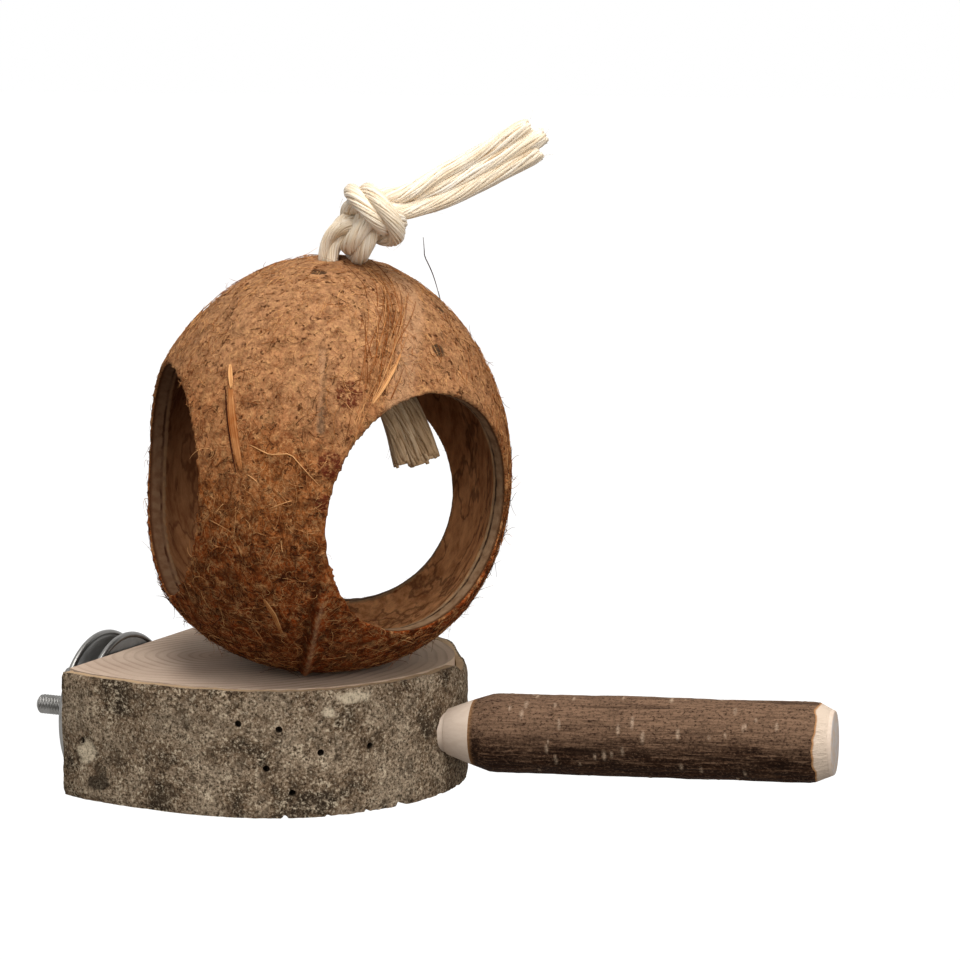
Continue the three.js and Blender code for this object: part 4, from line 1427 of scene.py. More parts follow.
@dataclass
class CoconutShell:
    """Emptied coconut with three ridges, a keel, three mouths and its loose fibres."""

    centre: tuple = SHELL_CENTRE
    slice_top: float = 20 * MM
    foot: float = 20.3 * MM
    seat_depth: float = 1 * MM
    radius: float = 54.2 * MM
    crown_rise: float = 64 * MM
    base_drop: float = 56 * MM
    wall: float = 5 * MM
    crown_squareness: float = 1.95
    base_squareness: float = 2.15
    lean: float = math.radians(6)
    lean_azimuth: float = math.radians(25)
    ridges: int = 3
    ridge_height: float = 2.2 * MM
    ridge_azimuth: float = math.radians(-64)
    ridge_sharpness: float = 4
    keel: float = 3 * MM
    spot_radius: float = 8.3 * MM
    voxel: float = 0.92 * MM
    rope_hole: float = 3.3 * MM
    saw_length: float = 120 * MM
    drill_length: float = 30 * MM
    spot_cut: float = 10 * MM
    spot_sink: float = 0.3 * MM
    mouth_sides: int = 128
    hole_sides: int = 48
    spot_sides: int = 64
    felt_fade: tuple = (115 * MM, 40 * MM)
    keel_starts: tuple = (math.radians(-8), math.radians(-34))
    worn_starts: tuple = (math.radians(12), math.radians(30))
    keel_relief: float = 1.3
    scar_relief: float = 1.1
    scab_relief: float = 0.5
    inside_relief: float = 0.25 * MM
    edge_relief: float = 0.12 * MM
    plane_size: float = 200 * MM
    strip_fibre: float = 0.17 * MM
    strip_stations: int = 14
    strip_seed: int = 23
    first_seed: int = 21
    fibre_rises: tuple = (-0.97, 0.985)
    seam_rises: tuple = (0, 62)
    seam_lengths: tuple = (8, 26)
    seam_spread: float = 3.0
    seam_radii: tuple = (0.06, 0.14)
    seam_tones: tuple = (0.2, 0.85)
    fibre_sides: int = 3
    strip_sides: int = 5
    seam_fibres: int = 80
    mouths = (
        Mouth(math.radians(-24), 33.6 * MM, 49.5 * MM),
        Mouth(math.radians(-139), 32.8 * MM, 56 * MM),
        Mouth(math.radians(107), 32 * MM, 45.5 * MM),
    )
    seam = ((-66, -61), (-36, -60), (-15, -58), (23, -51.5), (44, -43), (65, -28.5))
    scabs = (
        (-88, 70, 1.7),
        (-82, 70, 1.7),
        (-17, 42, 2.6),
        (8.5, 55.5, 2.1),
        (-33, 55, 0.6),
        (-38, 47, 0.5),
    )
    scar = ((-67.5, 40), (-65, 19))
    bruises = ((-57.5, 28.5, 5.0), (-61, 10.5, 4.5), (-62, 1, 3.0))
    strips = (
        Strip(((-100.9, 32, 0.3), (-98.6, 29, 0.6), (-96.6, 25.9, 0.5)), 1.2 * MM, 0.95),
        Strip(((-97.5, 26.5, 0.2), (-92.5, 17, 0.6), (-87, 6, 0.1)), 2.4 * MM, 0.55),
        # a dark strip beside the torn one: painted shadow
        Strip(((-99.0, 25.5, 0.3), (-94.4, 17, 0.4), (-88.6, 5.5, 0.3)), 0.6 * MM, -0.2),
        Strip(((-78, -29, 0.1), (-74.5, -34.5, 0.3), (-72, -42.5, 0.1)), 1.2 * MM, 0.6),
        Strip(((-37, 40.5, 0.1), (-45, 31.5, 0.3), (-50, 26, 0.2)), 0.9 * MM, 0.8),
        Strip(((-86.5, 13, 0.1), (-78.5, 11, 0.9), (-72.5, 12, 0.8), (-63.5, 5, 0.1)), 0.2 * MM, 0.9),
        Strip(((38, 57.5, 0.0), (38, 63.5, 4.6), (38, 67.5, 7.3), (38, 70, 12.0)), 0.2 * MM, 0.1),
    )

    def __post_init__(self) -> None:
        """Work out the lean and how high the nut's middle sits."""
        axis = Vector((-math.sin(self.lean_azimuth), math.cos(self.lean_azimuth), 0))
        self.turn = np.array(Matrix.Rotation(self.lean, 3, axis))
        turns = np.linspace(-math.pi, math.pi, 96)
        falls = np.linspace(-math.pi / 2, 0, 48)
        a, f = [grid.ravel() for grid in np.meshgrid(turns, falls)]
        self.middle = np.zeros(3)
        lowest = self.skin(a, f)[:, 2].min()
        self.middle = np.array([*self.centre, self.foot - self.seat_depth - lowest])

    def ridge(self, azimuth: Rows, fall: Rows) -> Rows:
        """Height of the three ridges and their keels.

        Args:
            azimuth: Azimuths about the nut's own axis.
            fall: Heights from the waist, from -1 at the base to 1 at the crown.

        Returns:
            The heights.
        """
        crest = ((1 + np.cos(self.ridges * (azimuth - self.ridge_azimuth))) / 2) ** self.ridge_sharpness
        return (self.ridge_height + np.where(fall < 0, self.keel * fall**2, 0.0)) * crest

    def skin(self, azimuth: Rows, rise: Rows, lift: Any = 0.0) -> Rows:
        """Points on or above the shell's outside.

        Args:
            azimuth: Azimuths about the nut's own axis.
            rise: Angles from the nut's waist, up to a quarter turn.
            lift: Height above the outside.

        Returns:
            Points as rows, in the frame.
        """
        level, z = np.cos(rise), np.sin(rise)
        power = np.where(z > 0, 2 / self.crown_squareness, 2 / self.base_squareness)
        reach = (self.radius + lift) * np.abs(level) ** power + self.ridge(azimuth, z) * level
        half = np.where(z > 0, self.crown_rise, self.base_drop)
        height = np.sign(z) * (half + lift) * np.abs(z) ** power
        own = np.stack([reach * np.cos(azimuth), reach * np.sin(azimuth), height], axis=-1)
        return own @ self.turn.T + self.middle

    def read(self, points: Rows) -> tuple[Rows, Rows, Rows]:
        """Find where points lie on the nut.

        Args:
            points: Points in the frame.

        Returns:
            Their azimuth, their rise, and their depth from 0 outside to 1 at the inside of the wall.
        """
        own = (points - self.middle) @ self.turn
        azimuth = np.arctan2(own[:, 1], own[:, 0])
        half = np.where(own[:, 2] > 0, self.crown_rise, self.base_drop)
        n = np.where(own[:, 2] > 0, self.crown_squareness, self.base_squareness)
        fall = np.clip(own[:, 2] / half, -1, 1)
        out = (np.hypot(own[:, 0], own[:, 1]) / (self.radius + self.ridge(azimuth, fall))) ** n
        up = np.abs(own[:, 2] / half) ** n
        rise = np.arctan2(np.sign(own[:, 2]) * np.sqrt(up), np.sqrt(out))
        return azimuth, rise, (1 - (out + up) ** (1 / n)) * self.radius / self.wall

    def off_seam(self, azimuth: Rows, rise: Rows) -> Rows:
        """Distance of points to the right of the fibrous seam."""
        levels, turns = np.radians(np.array(self.seam)).T
        aside = azimuth - np.interp(rise, levels, turns)
        return wrapped(aside) * self.radius * np.cos(rise)

    def near_spots(self, points: Rows, spots: Sequence[tuple]) -> Rows:
        """Share of each point that lies on one of the spots, each an azimuth, a rise and a size."""
        share = np.zeros(len(points))
        wander = rough(points, (500, 500, 500), 2, 1.0) * 0.6 * MM
        for azimuth, rise, size in spots:
            middle = self.skin(np.radians([azimuth]), np.radians([rise]))[0]
            off = np.linalg.norm(points - middle, axis=1) + wander
            share = np.maximum(share, smooth_step(size * MM, 0.6 * size * MM, off))
        return share

    def off_scar(self, points: Rows) -> tuple[Rows, Rows]:
        """Distance of points from the long dent left of the seam, and their share of its length."""
        low, high = [self.skin(np.radians([turn]), np.radians([rise]))[0] for turn, rise in self.scar]
        way = high - low
        share = np.clip((points - low) @ way / (way @ way), 0, 1)
        return np.linalg.norm(points - low - share[:, None] * way, axis=1), share

    def outside_mouths(self, points: Rows, margin: float) -> Rows:
        """Tell which points lie outside every mouth by a margin."""
        keep = np.ones(len(points), bool)
        for mouth in self.mouths:
            out = np.array([math.cos(mouth.azimuth), math.sin(mouth.azimuth)])
            side = np.array([-out[1], out[0]])
            plan = points[:, :2] - np.array(self.centre)
            off = np.hypot(plan @ side, points[:, 2] - self.slice_top - mouth.height)
            keep &= (plan @ out < 0) | (off > mouth.radius + margin)
        return keep

    def blank(self) -> Piece:
        """Shape the closed hollow nut from a sphere."""
        Bench.clear()
        bpy.ops.mesh.primitive_uv_sphere_add(segments=160, ring_count=96, radius=1)
        nut = Bench.take("coconut")
        points = Bench.points(nut)
        azimuth = np.arctan2(points[:, 1], points[:, 0])
        rise = np.arcsin(np.clip(points[:, 2], -1, 1))
        Bench.move_points(nut, self.skin(azimuth, rise))
        Bench.modify(nut, "SOLIDIFY", thickness=self.wall, offset=-1.0)
        return nut

    def saw_mouths(self, nut: Piece) -> None:
        """Cut the mouths, the rope's hole, the spot face and the flat foot."""
        for mouth in self.mouths:
            out = Vector((math.cos(mouth.azimuth), math.sin(mouth.azimuth), 0))
            middle = Vector((*self.centre, self.slice_top + mouth.height)) + out * self.saw_length / 2
            Bench.drill(nut, mouth.radius, self.saw_length, self.mouth_sides, middle, out)
        rope = SisalRope()
        above, middle, below = rope.place(rope.neck)
        out = Vector(unit(above - below))
        Bench.drill(nut, self.rope_hole, self.drill_length, self.hole_sides, Vector(middle), out)
        middle = Vector((*self.centre, self.foot + self.wall - self.spot_sink + self.spot_cut / 2))
        up = Vector((0, 0, 1))
        Bench.drill(nut, self.spot_radius, self.spot_cut, self.spot_sides, middle, up)
        Bench.clear()
        place = (*self.centre, self.foot - self.plane_size / 2)
        bpy.ops.mesh.primitive_cube_add(size=self.plane_size, location=place)
        Bench.cut(nut, Bench.take("plane"))

    def roughen(self, nut: Piece) -> None:
        """Give the outside its felt, seam and scabs, and the cut edges their wear; mark painted shade in
        the felt's pits and the keel's groove, and a painted shadow beside the scar.
        """
        Bench.modify(nut, "REMESH", mode="VOXEL", voxel_size=self.voxel, adaptivity=0.0)
        Bench.modify(nut, "SMOOTH", factor=0.5, iterations=2)
        points = Bench.points(nut)
        azimuth, rise, depth = self.read(points)
        facing = np.sum(Bench.normals(nut) * unit(points - self.middle), axis=1)
        hollow = smooth_step(-0.3, -0.7, facing) * self.outside_mouths(points, 0.9 * MM)
        depth = np.clip(np.maximum(depth, 1.2 * hollow), -0.3, 1.3)
        off = self.off_seam(azimuth, rise)
        low = smooth_step(*self.felt_fade, points[:, 2])
        outside = smooth_step(0.35, 0.05, depth)
        strands = rough(points, (420, 420, 110), 4)
        lumps = rough(points, (75, 75, 40), 3, 7.0)
        pits = rough(points, (300, 300, 260), 3, 3.0)
        felt = strands * (0.08 + 0.28 * low) + lumps * 0.5 + np.minimum(pits, 0) * (0.12 + 0.25 * low)
        under = smooth_step(*self.keel_starts, rise)
        above = smooth_step(*self.worn_starts, rise)
        worn_band = 0.7 * under * bell(off, 0.8 * MM) + above * bell(off - 8 * MM, 4.5 * MM)
        crest = bell(off, 1.1 * MM) - 0.6 * bell(off + 2.6 * MM, 1.2 * MM)
        from_scar, along_scar = self.off_scar(points)
        scar = smooth_step(1.5 * MM, 0.6 * MM, from_scar)
        spots = self.near_spots(points, self.scabs)
        bruises = self.near_spots(points, self.bruises)
        felt = felt * (1 - 0.7 * scar) * (1 - 0.5 * worn_band)
        raised = felt + self.keel_relief * under * crest
        lift = outside * (raised - self.scar_relief * scar - self.scab_relief * spots) * MM
        inside = smooth_step(0.75, 0.95, depth)
        lift = lift + inside * rough(points, (110, 110, 60), 3, 5.0) * self.inside_relief
        worn = (1 - outside) * (1 - inside)
        lift = lift + worn * rough(points, (500, 500, 500), 2, 9.0) * self.edge_relief
        seat = smooth_step(self.foot + 0.2 * MM, self.foot + 1.5 * MM, points[:, 2])
        Bench.move_points(nut, points + Bench.normals(nut) * (lift * seat)[:, None])
        Bench.mark(nut, "depth", depth)
        # painted shade: the felt's pits and the keel's groove are marked to be darkened
        sunk = smooth_step(0.02, -0.3, pits) * (0.35 + 0.65 * low) * (1 - worn_band) * (1 - scar)
        groove = under * smooth_step(1.5 * MM, 0.5 * MM, np.abs(off + 2.0 * MM))
        Bench.mark(nut, "pit", outside * np.maximum(sunk, groove))
        seam = (1 - under) * smooth_step(4.5 * MM, 1.0 * MM, np.abs(off))
        # band: the dark seam, painted shade in the keel's groove, and the worn smooth places
        Bench.mark(nut, "band", outside * (groove + seam - worn_band - 0.9 * scar))
        # the scar's dark lower end, and a painted shadow along its right side
        narrow = 0.55 * smooth_step(1.3 * MM, 0.6 * MM, from_scar)
        turns = np.interp(along_scar, (0, 1), [turn for turn, _ in self.scar])
        right_of_scar = np.sign(np.degrees(azimuth) - turns) * from_scar
        edge = smooth_step(0.7 * MM, 1.2 * MM, right_of_scar)
        edge = edge * smooth_step(1.9 * MM, 1.4 * MM, right_of_scar)
        dark_scar_and_shadow = np.maximum(narrow * smooth_step(0.5, 0.8, along_scar), 0.5 * edge)
        Bench.mark(nut, "spot", outside * (np.maximum(spots, dark_scar_and_shadow) - bruises * (1 - scar)))

    def fibres(self, name: str, kind: Fibres, seed: int) -> Piece:
        """Lay loose fibres on the outside.

        Args:
            name: Name of the piece.
            kind: How many there are and how they lie.
            seed: Seed of their differences.

        Returns:
            The fibres as one mesh.
        """
        chance = np.random.default_rng(seed)
        count, stations = kind.count, kind.stations
        found = []
        while sum(len(rows) for rows in found) < count:
            azimuth = chance.uniform(-math.pi, math.pi, count)
            rise = np.arcsin(chance.uniform(*self.fibre_rises, count))
            share = smooth_step(0.5, -0.6, np.sin(rise))
            keep = chance.random(count) < 1 - kind.low_bias + kind.low_bias * share
            start = self.skin(azimuth, rise)
            keep &= self.outside_mouths(start, 1.0 * MM) & (start[:, 2] > self.foot + 1.5 * MM)
            found.append(np.stack([azimuth[keep], rise[keep]], axis=1))
        azimuth, rise = np.concatenate(found)[:count].T
        step = chance.uniform(*kind.lengths, count) / (stations - 1)
        heading = chance.normal(0, kind.wander, count) + chance.choice([0, math.pi], count)
        drift = chance.normal(0, kind.curl, count)
        end_lift = chance.uniform(*kind.lift, count)
        paths = np.zeros((count, stations, 3))
        for k in range(stations):
            share = k / (stations - 1)
            paths[:, k] = self.skin(azimuth, rise, 0.1 * MM + end_lift * share**1.7)
            angle = heading + drift * share
            reach = np.maximum(self.radius * np.cos(rise), 4 * MM)
            rise = np.clip(rise + np.cos(angle) * step / (0.95 * self.crown_rise), -1.5, 1.5)
            azimuth = azimuth + np.sin(angle) * step / reach
        keep = self.outside_mouths(paths[:, -1], -1 * MM)
        keep &= paths[:, :, 2].min(axis=1) > self.foot + 0.6 * MM
        turns, tilts, _ = self.read(paths.reshape(-1, 3))
        on_keel = (np.abs(self.off_seam(turns, tilts)) < 1.3 * MM) & (tilts < math.radians(-14))
        keep &= ~on_keel.reshape(paths.shape[:2]).any(axis=1)
        paths = paths[keep]
        taper = 1.0 - 0.6 * np.linspace(0, 1, stations)
        radii = chance.uniform(*kind.radii, count)[keep][:, None] * taper[None]
        low = smooth_step(0.13, 0.035, paths[:, 0, 2])
        clumps = rough(paths[:, 0], (330, 330, 240), 2, 11.0) * (0.25 + 0.4 * low)
        tones = np.clip(chance.normal(kind.tone, 0.28, count)[keep] + clumps - 0.3 * low, 0, 1)
        return tube_bundle(name, paths, unit(paths - self.middle), radii, self.fibre_sides, tones)

    def lay_strips(self) -> Piece:
        """Lay the torn strips and single hairs that stand out, each of fine fibres side by side, with one
        dark strip as painted shadow beside a torn strip.
        """
        chance = np.random.default_rng(self.strip_seed)
        share = np.linspace(0, 1, self.strip_stations)
        paths, radii, tones = [], [], []
        for strip in self.strips:
            knots = np.linspace(0, 1, len(strip.route))
            azimuth, rise, lift = [np.interp(share, knots, row) for row in np.array(strip.route).T]
            line = self.skin(np.radians(azimuth), np.radians(rise), lift * MM)
            across = unit(np.cross(np.gradient(line, axis=0), line - self.middle))
            fibre = self.strip_fibre
            across = across * (np.sin(math.pi * (0.08 + 0.84 * share)) ** 0.6)[:, None]
            for k in range(max(1, round(strip.width / (1.5 * fibre)))):
                aside = k * 1.5 * fibre - strip.width / 2 + chance.normal(0, 0.05 * MM)
                paths.append(line + across * aside)
                radii.append(fibre * (0.35 + 0.65 * np.sin(math.pi * (0.05 + 0.9 * share))))
                tones.append(strip.tone + chance.normal(0, 0.08))
        levels, turns = np.array(self.seam).T
        for _ in range(self.seam_fibres):
            low = chance.uniform(*self.seam_rises)
            rise = low + share * chance.uniform(*self.seam_lengths)
            aside = chance.normal(0, self.seam_spread) + chance.normal(0, self.seam_spread) * share
            azimuth = np.interp(rise, levels, turns) + aside / np.cos(np.radians(np.minimum(rise, 80)))
            lift = 0.15 + chance.uniform(0, 0.8) * share**2
            paths.append(self.skin(np.radians(azimuth), np.radians(rise), lift * MM))
            radii.append(chance.uniform(*self.seam_radii) * MM * (1 - 0.5 * share))
            tones.append(chance.uniform(*self.seam_tones))
        paths, radii, tones = np.array(paths), np.array(radii), np.array(tones)
        keep = self.outside_mouths(paths[:, 0], 0.0) & self.outside_mouths(paths[:, -1], 0.0)
        keep[: -self.seam_fibres] = True
        ups = unit(paths - self.middle)
        rows = [store[keep] for store in (paths, ups, radii)]
        return tube_bundle("coconut_strips", *rows, self.strip_sides, tones[keep])

    def build(self) -> None:
        """Make the shell and its fibres."""
        nut = self.blank()
        self.saw_mouths(nut)
        self.roughen(nut)
        nut.data.shade_smooth()
        nut.name = "coconut_body"
        Bench.deliver(nut, Body.HOUSE, Slot.SHELL, HuskFinish().material(), ["coconut_shell"])
        strand = StrandFinish("coconut fibre", srgb(58, 25, 9), srgb(142, 80, 36), srgb(210, 156, 102))
        finish = strand.material()
        short = Fibres(
            count=4500,
            lengths=(1.5 * MM, 5 * MM),
            radii=(0.05 * MM, 0.11 * MM),
            lift=(0.0, 0.4 * MM),
            low_bias=0.6,
            wander=1.3,
            curl=2.4,
            stations=5,
        )
        long = Fibres(
            count=1800,
            lengths=(3 * MM, 9 * MM),
            radii=(0.06 * MM, 0.12 * MM),
            lift=(0.0, 0.4 * MM),
            low_bias=0.75,
            wander=0.6,
            curl=1.2,
            stations=7,
        )
        loose = Fibres(
            count=480,
            lengths=(2.5 * MM, 7 * MM),
            radii=(0.07 * MM, 0.13 * MM),
            lift=(0.6 * MM, 3.0 * MM),
            low_bias=0.9,
            wander=1.0,
            curl=2.4,
            stations=7,
            tone=0.45,
        )
        coarse = Fibres(
            count=150,
            lengths=(3 * MM, 9 * MM),
            radii=(0.1 * MM, 0.19 * MM),
            lift=(0.2 * MM, 1.4 * MM),
            low_bias=0.95,
            wander=1.3,
            curl=1.7,
            stations=9,
            tone=0.95,
        )
        kinds = {"short": short, "more_short": short, "long": long, "loose": loose, "coarse": coarse}
        for seed, (label, kind) in enumerate(kinds.items(), self.first_seed):
            piece = self.fibres("coconut_fibres_" + label, kind, seed)
            Bench.deliver(piece, Body.HOUSE, Slot.SHELL, finish)
        Bench.deliver(self.lay_strips(), Body.HOUSE, Slot.SHELL, finish)


@dataclass
class LogSlice:
    """Slice of a trunk with its bark on."""

    centre: tuple = (43.4 * MM, 10 * MM)
    radius: float = 56.2 * MM
    top: float = 20 * MM
    thickness: float = 36 * MM
    bark: float = 3.5 * MM
    waves: int = 5
    wave_height: float = 0.5 * MM
    flare: float = 10.5 * MM
    flare_azimuth: float = math.radians(-140)
    flare_width: float = math.radians(24)
    columns: int = 620
    rows: int = 82
    edge_rows: int = 8
    corner_steps: int = 7201
    hole_radius: float = 1.0 * MM
    hole_depth: float = 3.2 * MM
    hole_sides: int = 20
    chip_start: tuple = (math.radians(6), math.radians(13))
    chip_end: tuple = (math.radians(46), math.radians(36))
    chip_depth: tuple = (2.8, 0.8)
    chipped_right: tuple = (math.radians(-60), math.radians(-30))
    holes = (
        (-72.5, 10.7),
        (-60.8, 9.2),
        (-48.9, 2.2),
        (-33.6, 2.7),
        (-64.5, -1.9),
        (-57.2, -8.9),
        (-123.4, 1.1),
    )
    scars = ((-39, 17.3, 5.6, 1.9), (-46.7, 13.7, 2.6, 2.0), (-122, -2.2, 3.2, 3.8))
    stains = ((-118, -10.3, 3.4, 3.0),)
    notches = ((-59.3, 0.9, 0.9), (-34.4, 0.8, 1.7), (-47, 0.8, 0.5), (-22, 2.0, 1.2))

    def trunk_radius(self, azimuth: Rows) -> Rows:
        """Radius of the bark's outside about the slice's centre."""
        flare = self.flare * bell(wrapped(azimuth - self.flare_azimuth), self.flare_width)
        return self.radius + self.wave_height * np.sin(self.waves * azimuth) + flare

    def corners(self) -> tuple[float, float]:
        """Azimuths at which the bark's outside meets the flat back."""
        azimuth = np.linspace(-math.pi, math.pi, self.corner_steps)
        front = self.centre[0] + self.trunk_radius(azimuth) * np.cos(azimuth) > 0.0
        inside = azimuth[front]
        return float(inside.min()), float(inside.max())

    def build(self) -> None:
        """Dress the wood and make the bark."""
        Bench.dress(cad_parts["log_slice_wood"], SawnWoodFinish().material())
        bark = self.make_bark()
        self.drill(bark)
        self.mark_growth(bark)
        Bench.smooth(bark, 50)
        Bench.deliver(bark, Body.HOUSE, Slot.BARK, BarkFinish().material(), ["log_slice_bark"])

    def ring(self, azimuth: Rows, reach: Rows, level: Rows) -> Rows:
        """Points at azimuths, distances from the slice's centre and heights."""
        east = self.centre[0] + reach * np.cos(azimuth)
        return np.stack([east, self.centre[1] + reach * np.sin(azimuth), level + 0 * azimuth], axis=1)

    def edges(self, azimuth: Rows) -> tuple[Rows, Rows]:
        """Heights of the bark's lower and upper edge.

        Args:
            azimuth: Azimuths round the slice.

        Returns:
            Both heights at each azimuth.
        """
        line = self.ring(azimuth, self.radius + 0 * azimuth, 0.0)
        ragged = rough(line, (160, 160, 160), 4)
        chips = rough(line, (260, 260, 260), 3, 5.0)
        upper = self.top - 0.2 * MM + 0.25 * MM * ragged
        broken = smooth_step(*self.chip_start, azimuth) * smooth_step(*self.chip_end, azimuth)
        upper = upper - broken * (self.chip_depth[0] + self.chip_depth[1] * ragged) * MM
        right = smooth_step(*self.chipped_right, azimuth)
        lower = self.top - self.thickness + (np.maximum(chips, 0) * (0.1 + 0.4 * right) - 0.3) * MM
        for middle, half, height in self.notches:
            off = np.abs(azimuth - math.radians(middle)) * self.radius / MM
            lower = lower + height * MM * smooth_step(half, 0.4 * half, off)
        return lower, upper

    def make_bark(self) -> Piece:
        """Model the bark as a closed rough band round the curved side."""
        azimuth = np.linspace(*self.corners(), self.columns)
        outside = self.trunk_radius(azimuth)
        lower, upper = self.edges(azimuth)
        sections, depths = [], []
        for share in np.linspace(0, 1, self.rows):
            level = lower + (upper - lower) * share
            points = self.ring(azimuth, outside, level)
            relief = rough(points, (150, 150, 95), 4) * 0.3
            relief = relief + rough(points, (700, 700, 600), 4, 4.0) * 0.16
            worn = 0.5 * smooth_step(0.95, 1.0, share) + 0.4 * smooth_step(0.06, 0.0, share)
            sections.append(self.ring(azimuth, outside + (relief - worn) * MM, level))
            depths.append(np.zeros(self.columns))
        start = np.hypot(*(sections[-1][:, :2] - np.array(self.centre)).T)
        end = outside - self.bark + 0.15 * MM
        for share in np.linspace(0, 1, self.edge_rows + 1)[1:]:
            dip = rough(self.ring(azimuth, start, share * 0.1), (900, 900, 60), 3, 2.2) * 0.12 * MM
            sections.append(self.ring(azimuth, start + (end - start) * share, upper + dip))
            depths.append(np.full(self.columns, min(1.0, share * 1.5)))
        sections.append(self.ring(azimuth, end, lower))
        depths.append(np.ones(self.columns))
        grid = np.array(sections)
        grid[:, :, 0] = np.maximum(grid[:, :, 0], 0.0)
        lines, columns, _ = grid.shape
        count = lines * columns
        ends = [range(0, count, columns), reversed(range(columns - 1, count, columns))]
        faces = Bench.woven(lines, columns, around=False, closed=True) + ends
        piece = Bench.from_mesh("trunk_bark", grid, faces)
        Bench.mark(piece, "depth", np.concatenate(depths))
        Bench.clean(piece)
        return piece

    def hole_starts(self) -> list[tuple[Vector, Vector]]:
        """Place on the bark and outward direction of each small round hole."""
        found = []
        for turn, level in self.holes:
            azimuth = np.radians([turn])
            place = self.ring(azimuth, self.trunk_radius(azimuth), level * MM)[0]
            found.append((Vector(place), Vector((math.cos(azimuth[0]), math.sin(azimuth[0]), 0))))
        return found

    def drill(self, bark: Piece) -> None:
        """Sink the small round holes into the bark."""
        for place, out in self.hole_starts():
            Bench.drill(bark, self.hole_radius, 2 * self.hole_depth, self.hole_sides, place, out)

    def mark_growth(self, bark: Piece) -> None:
        """Mark pale scars above 0, and dark stains and painted shade inside the holes below 0."""
        points = Bench.points(bark)
        plan = points[:, :2] - np.array(self.centre)
        azimuth = np.arctan2(plan[:, 1], plan[:, 0])
        wander = rough(points, (300, 300, 300), 4, 6.0) * 0.45
        marks = np.zeros(len(points))
        for sense, places in ((1, self.scars), (-1, self.stains)):
            for turn, level, half_width, half_height in places:
                aside = (azimuth - math.radians(turn)) * self.radius / (half_width * MM)
                off = np.hypot(aside, (points[:, 2] - level * MM) / (half_height * MM)) + wander
                marks = marks + sense * smooth_step(1.1, 0.6, off)
        for place, out in self.hole_starts():
            from_mouth = points - np.array(place)
            sunk = -(from_mouth @ np.array(out))
            off = np.linalg.norm(from_mouth + sunk[:, None] * np.array(out), axis=1)
            # painted shade: the inside of each hole is marked dark
            marks = np.where((off < self.hole_radius + 0.05 * MM) & (sunk > 0.5 * MM), -3.0, marks)
        Bench.mark(bark, "pale", marks)


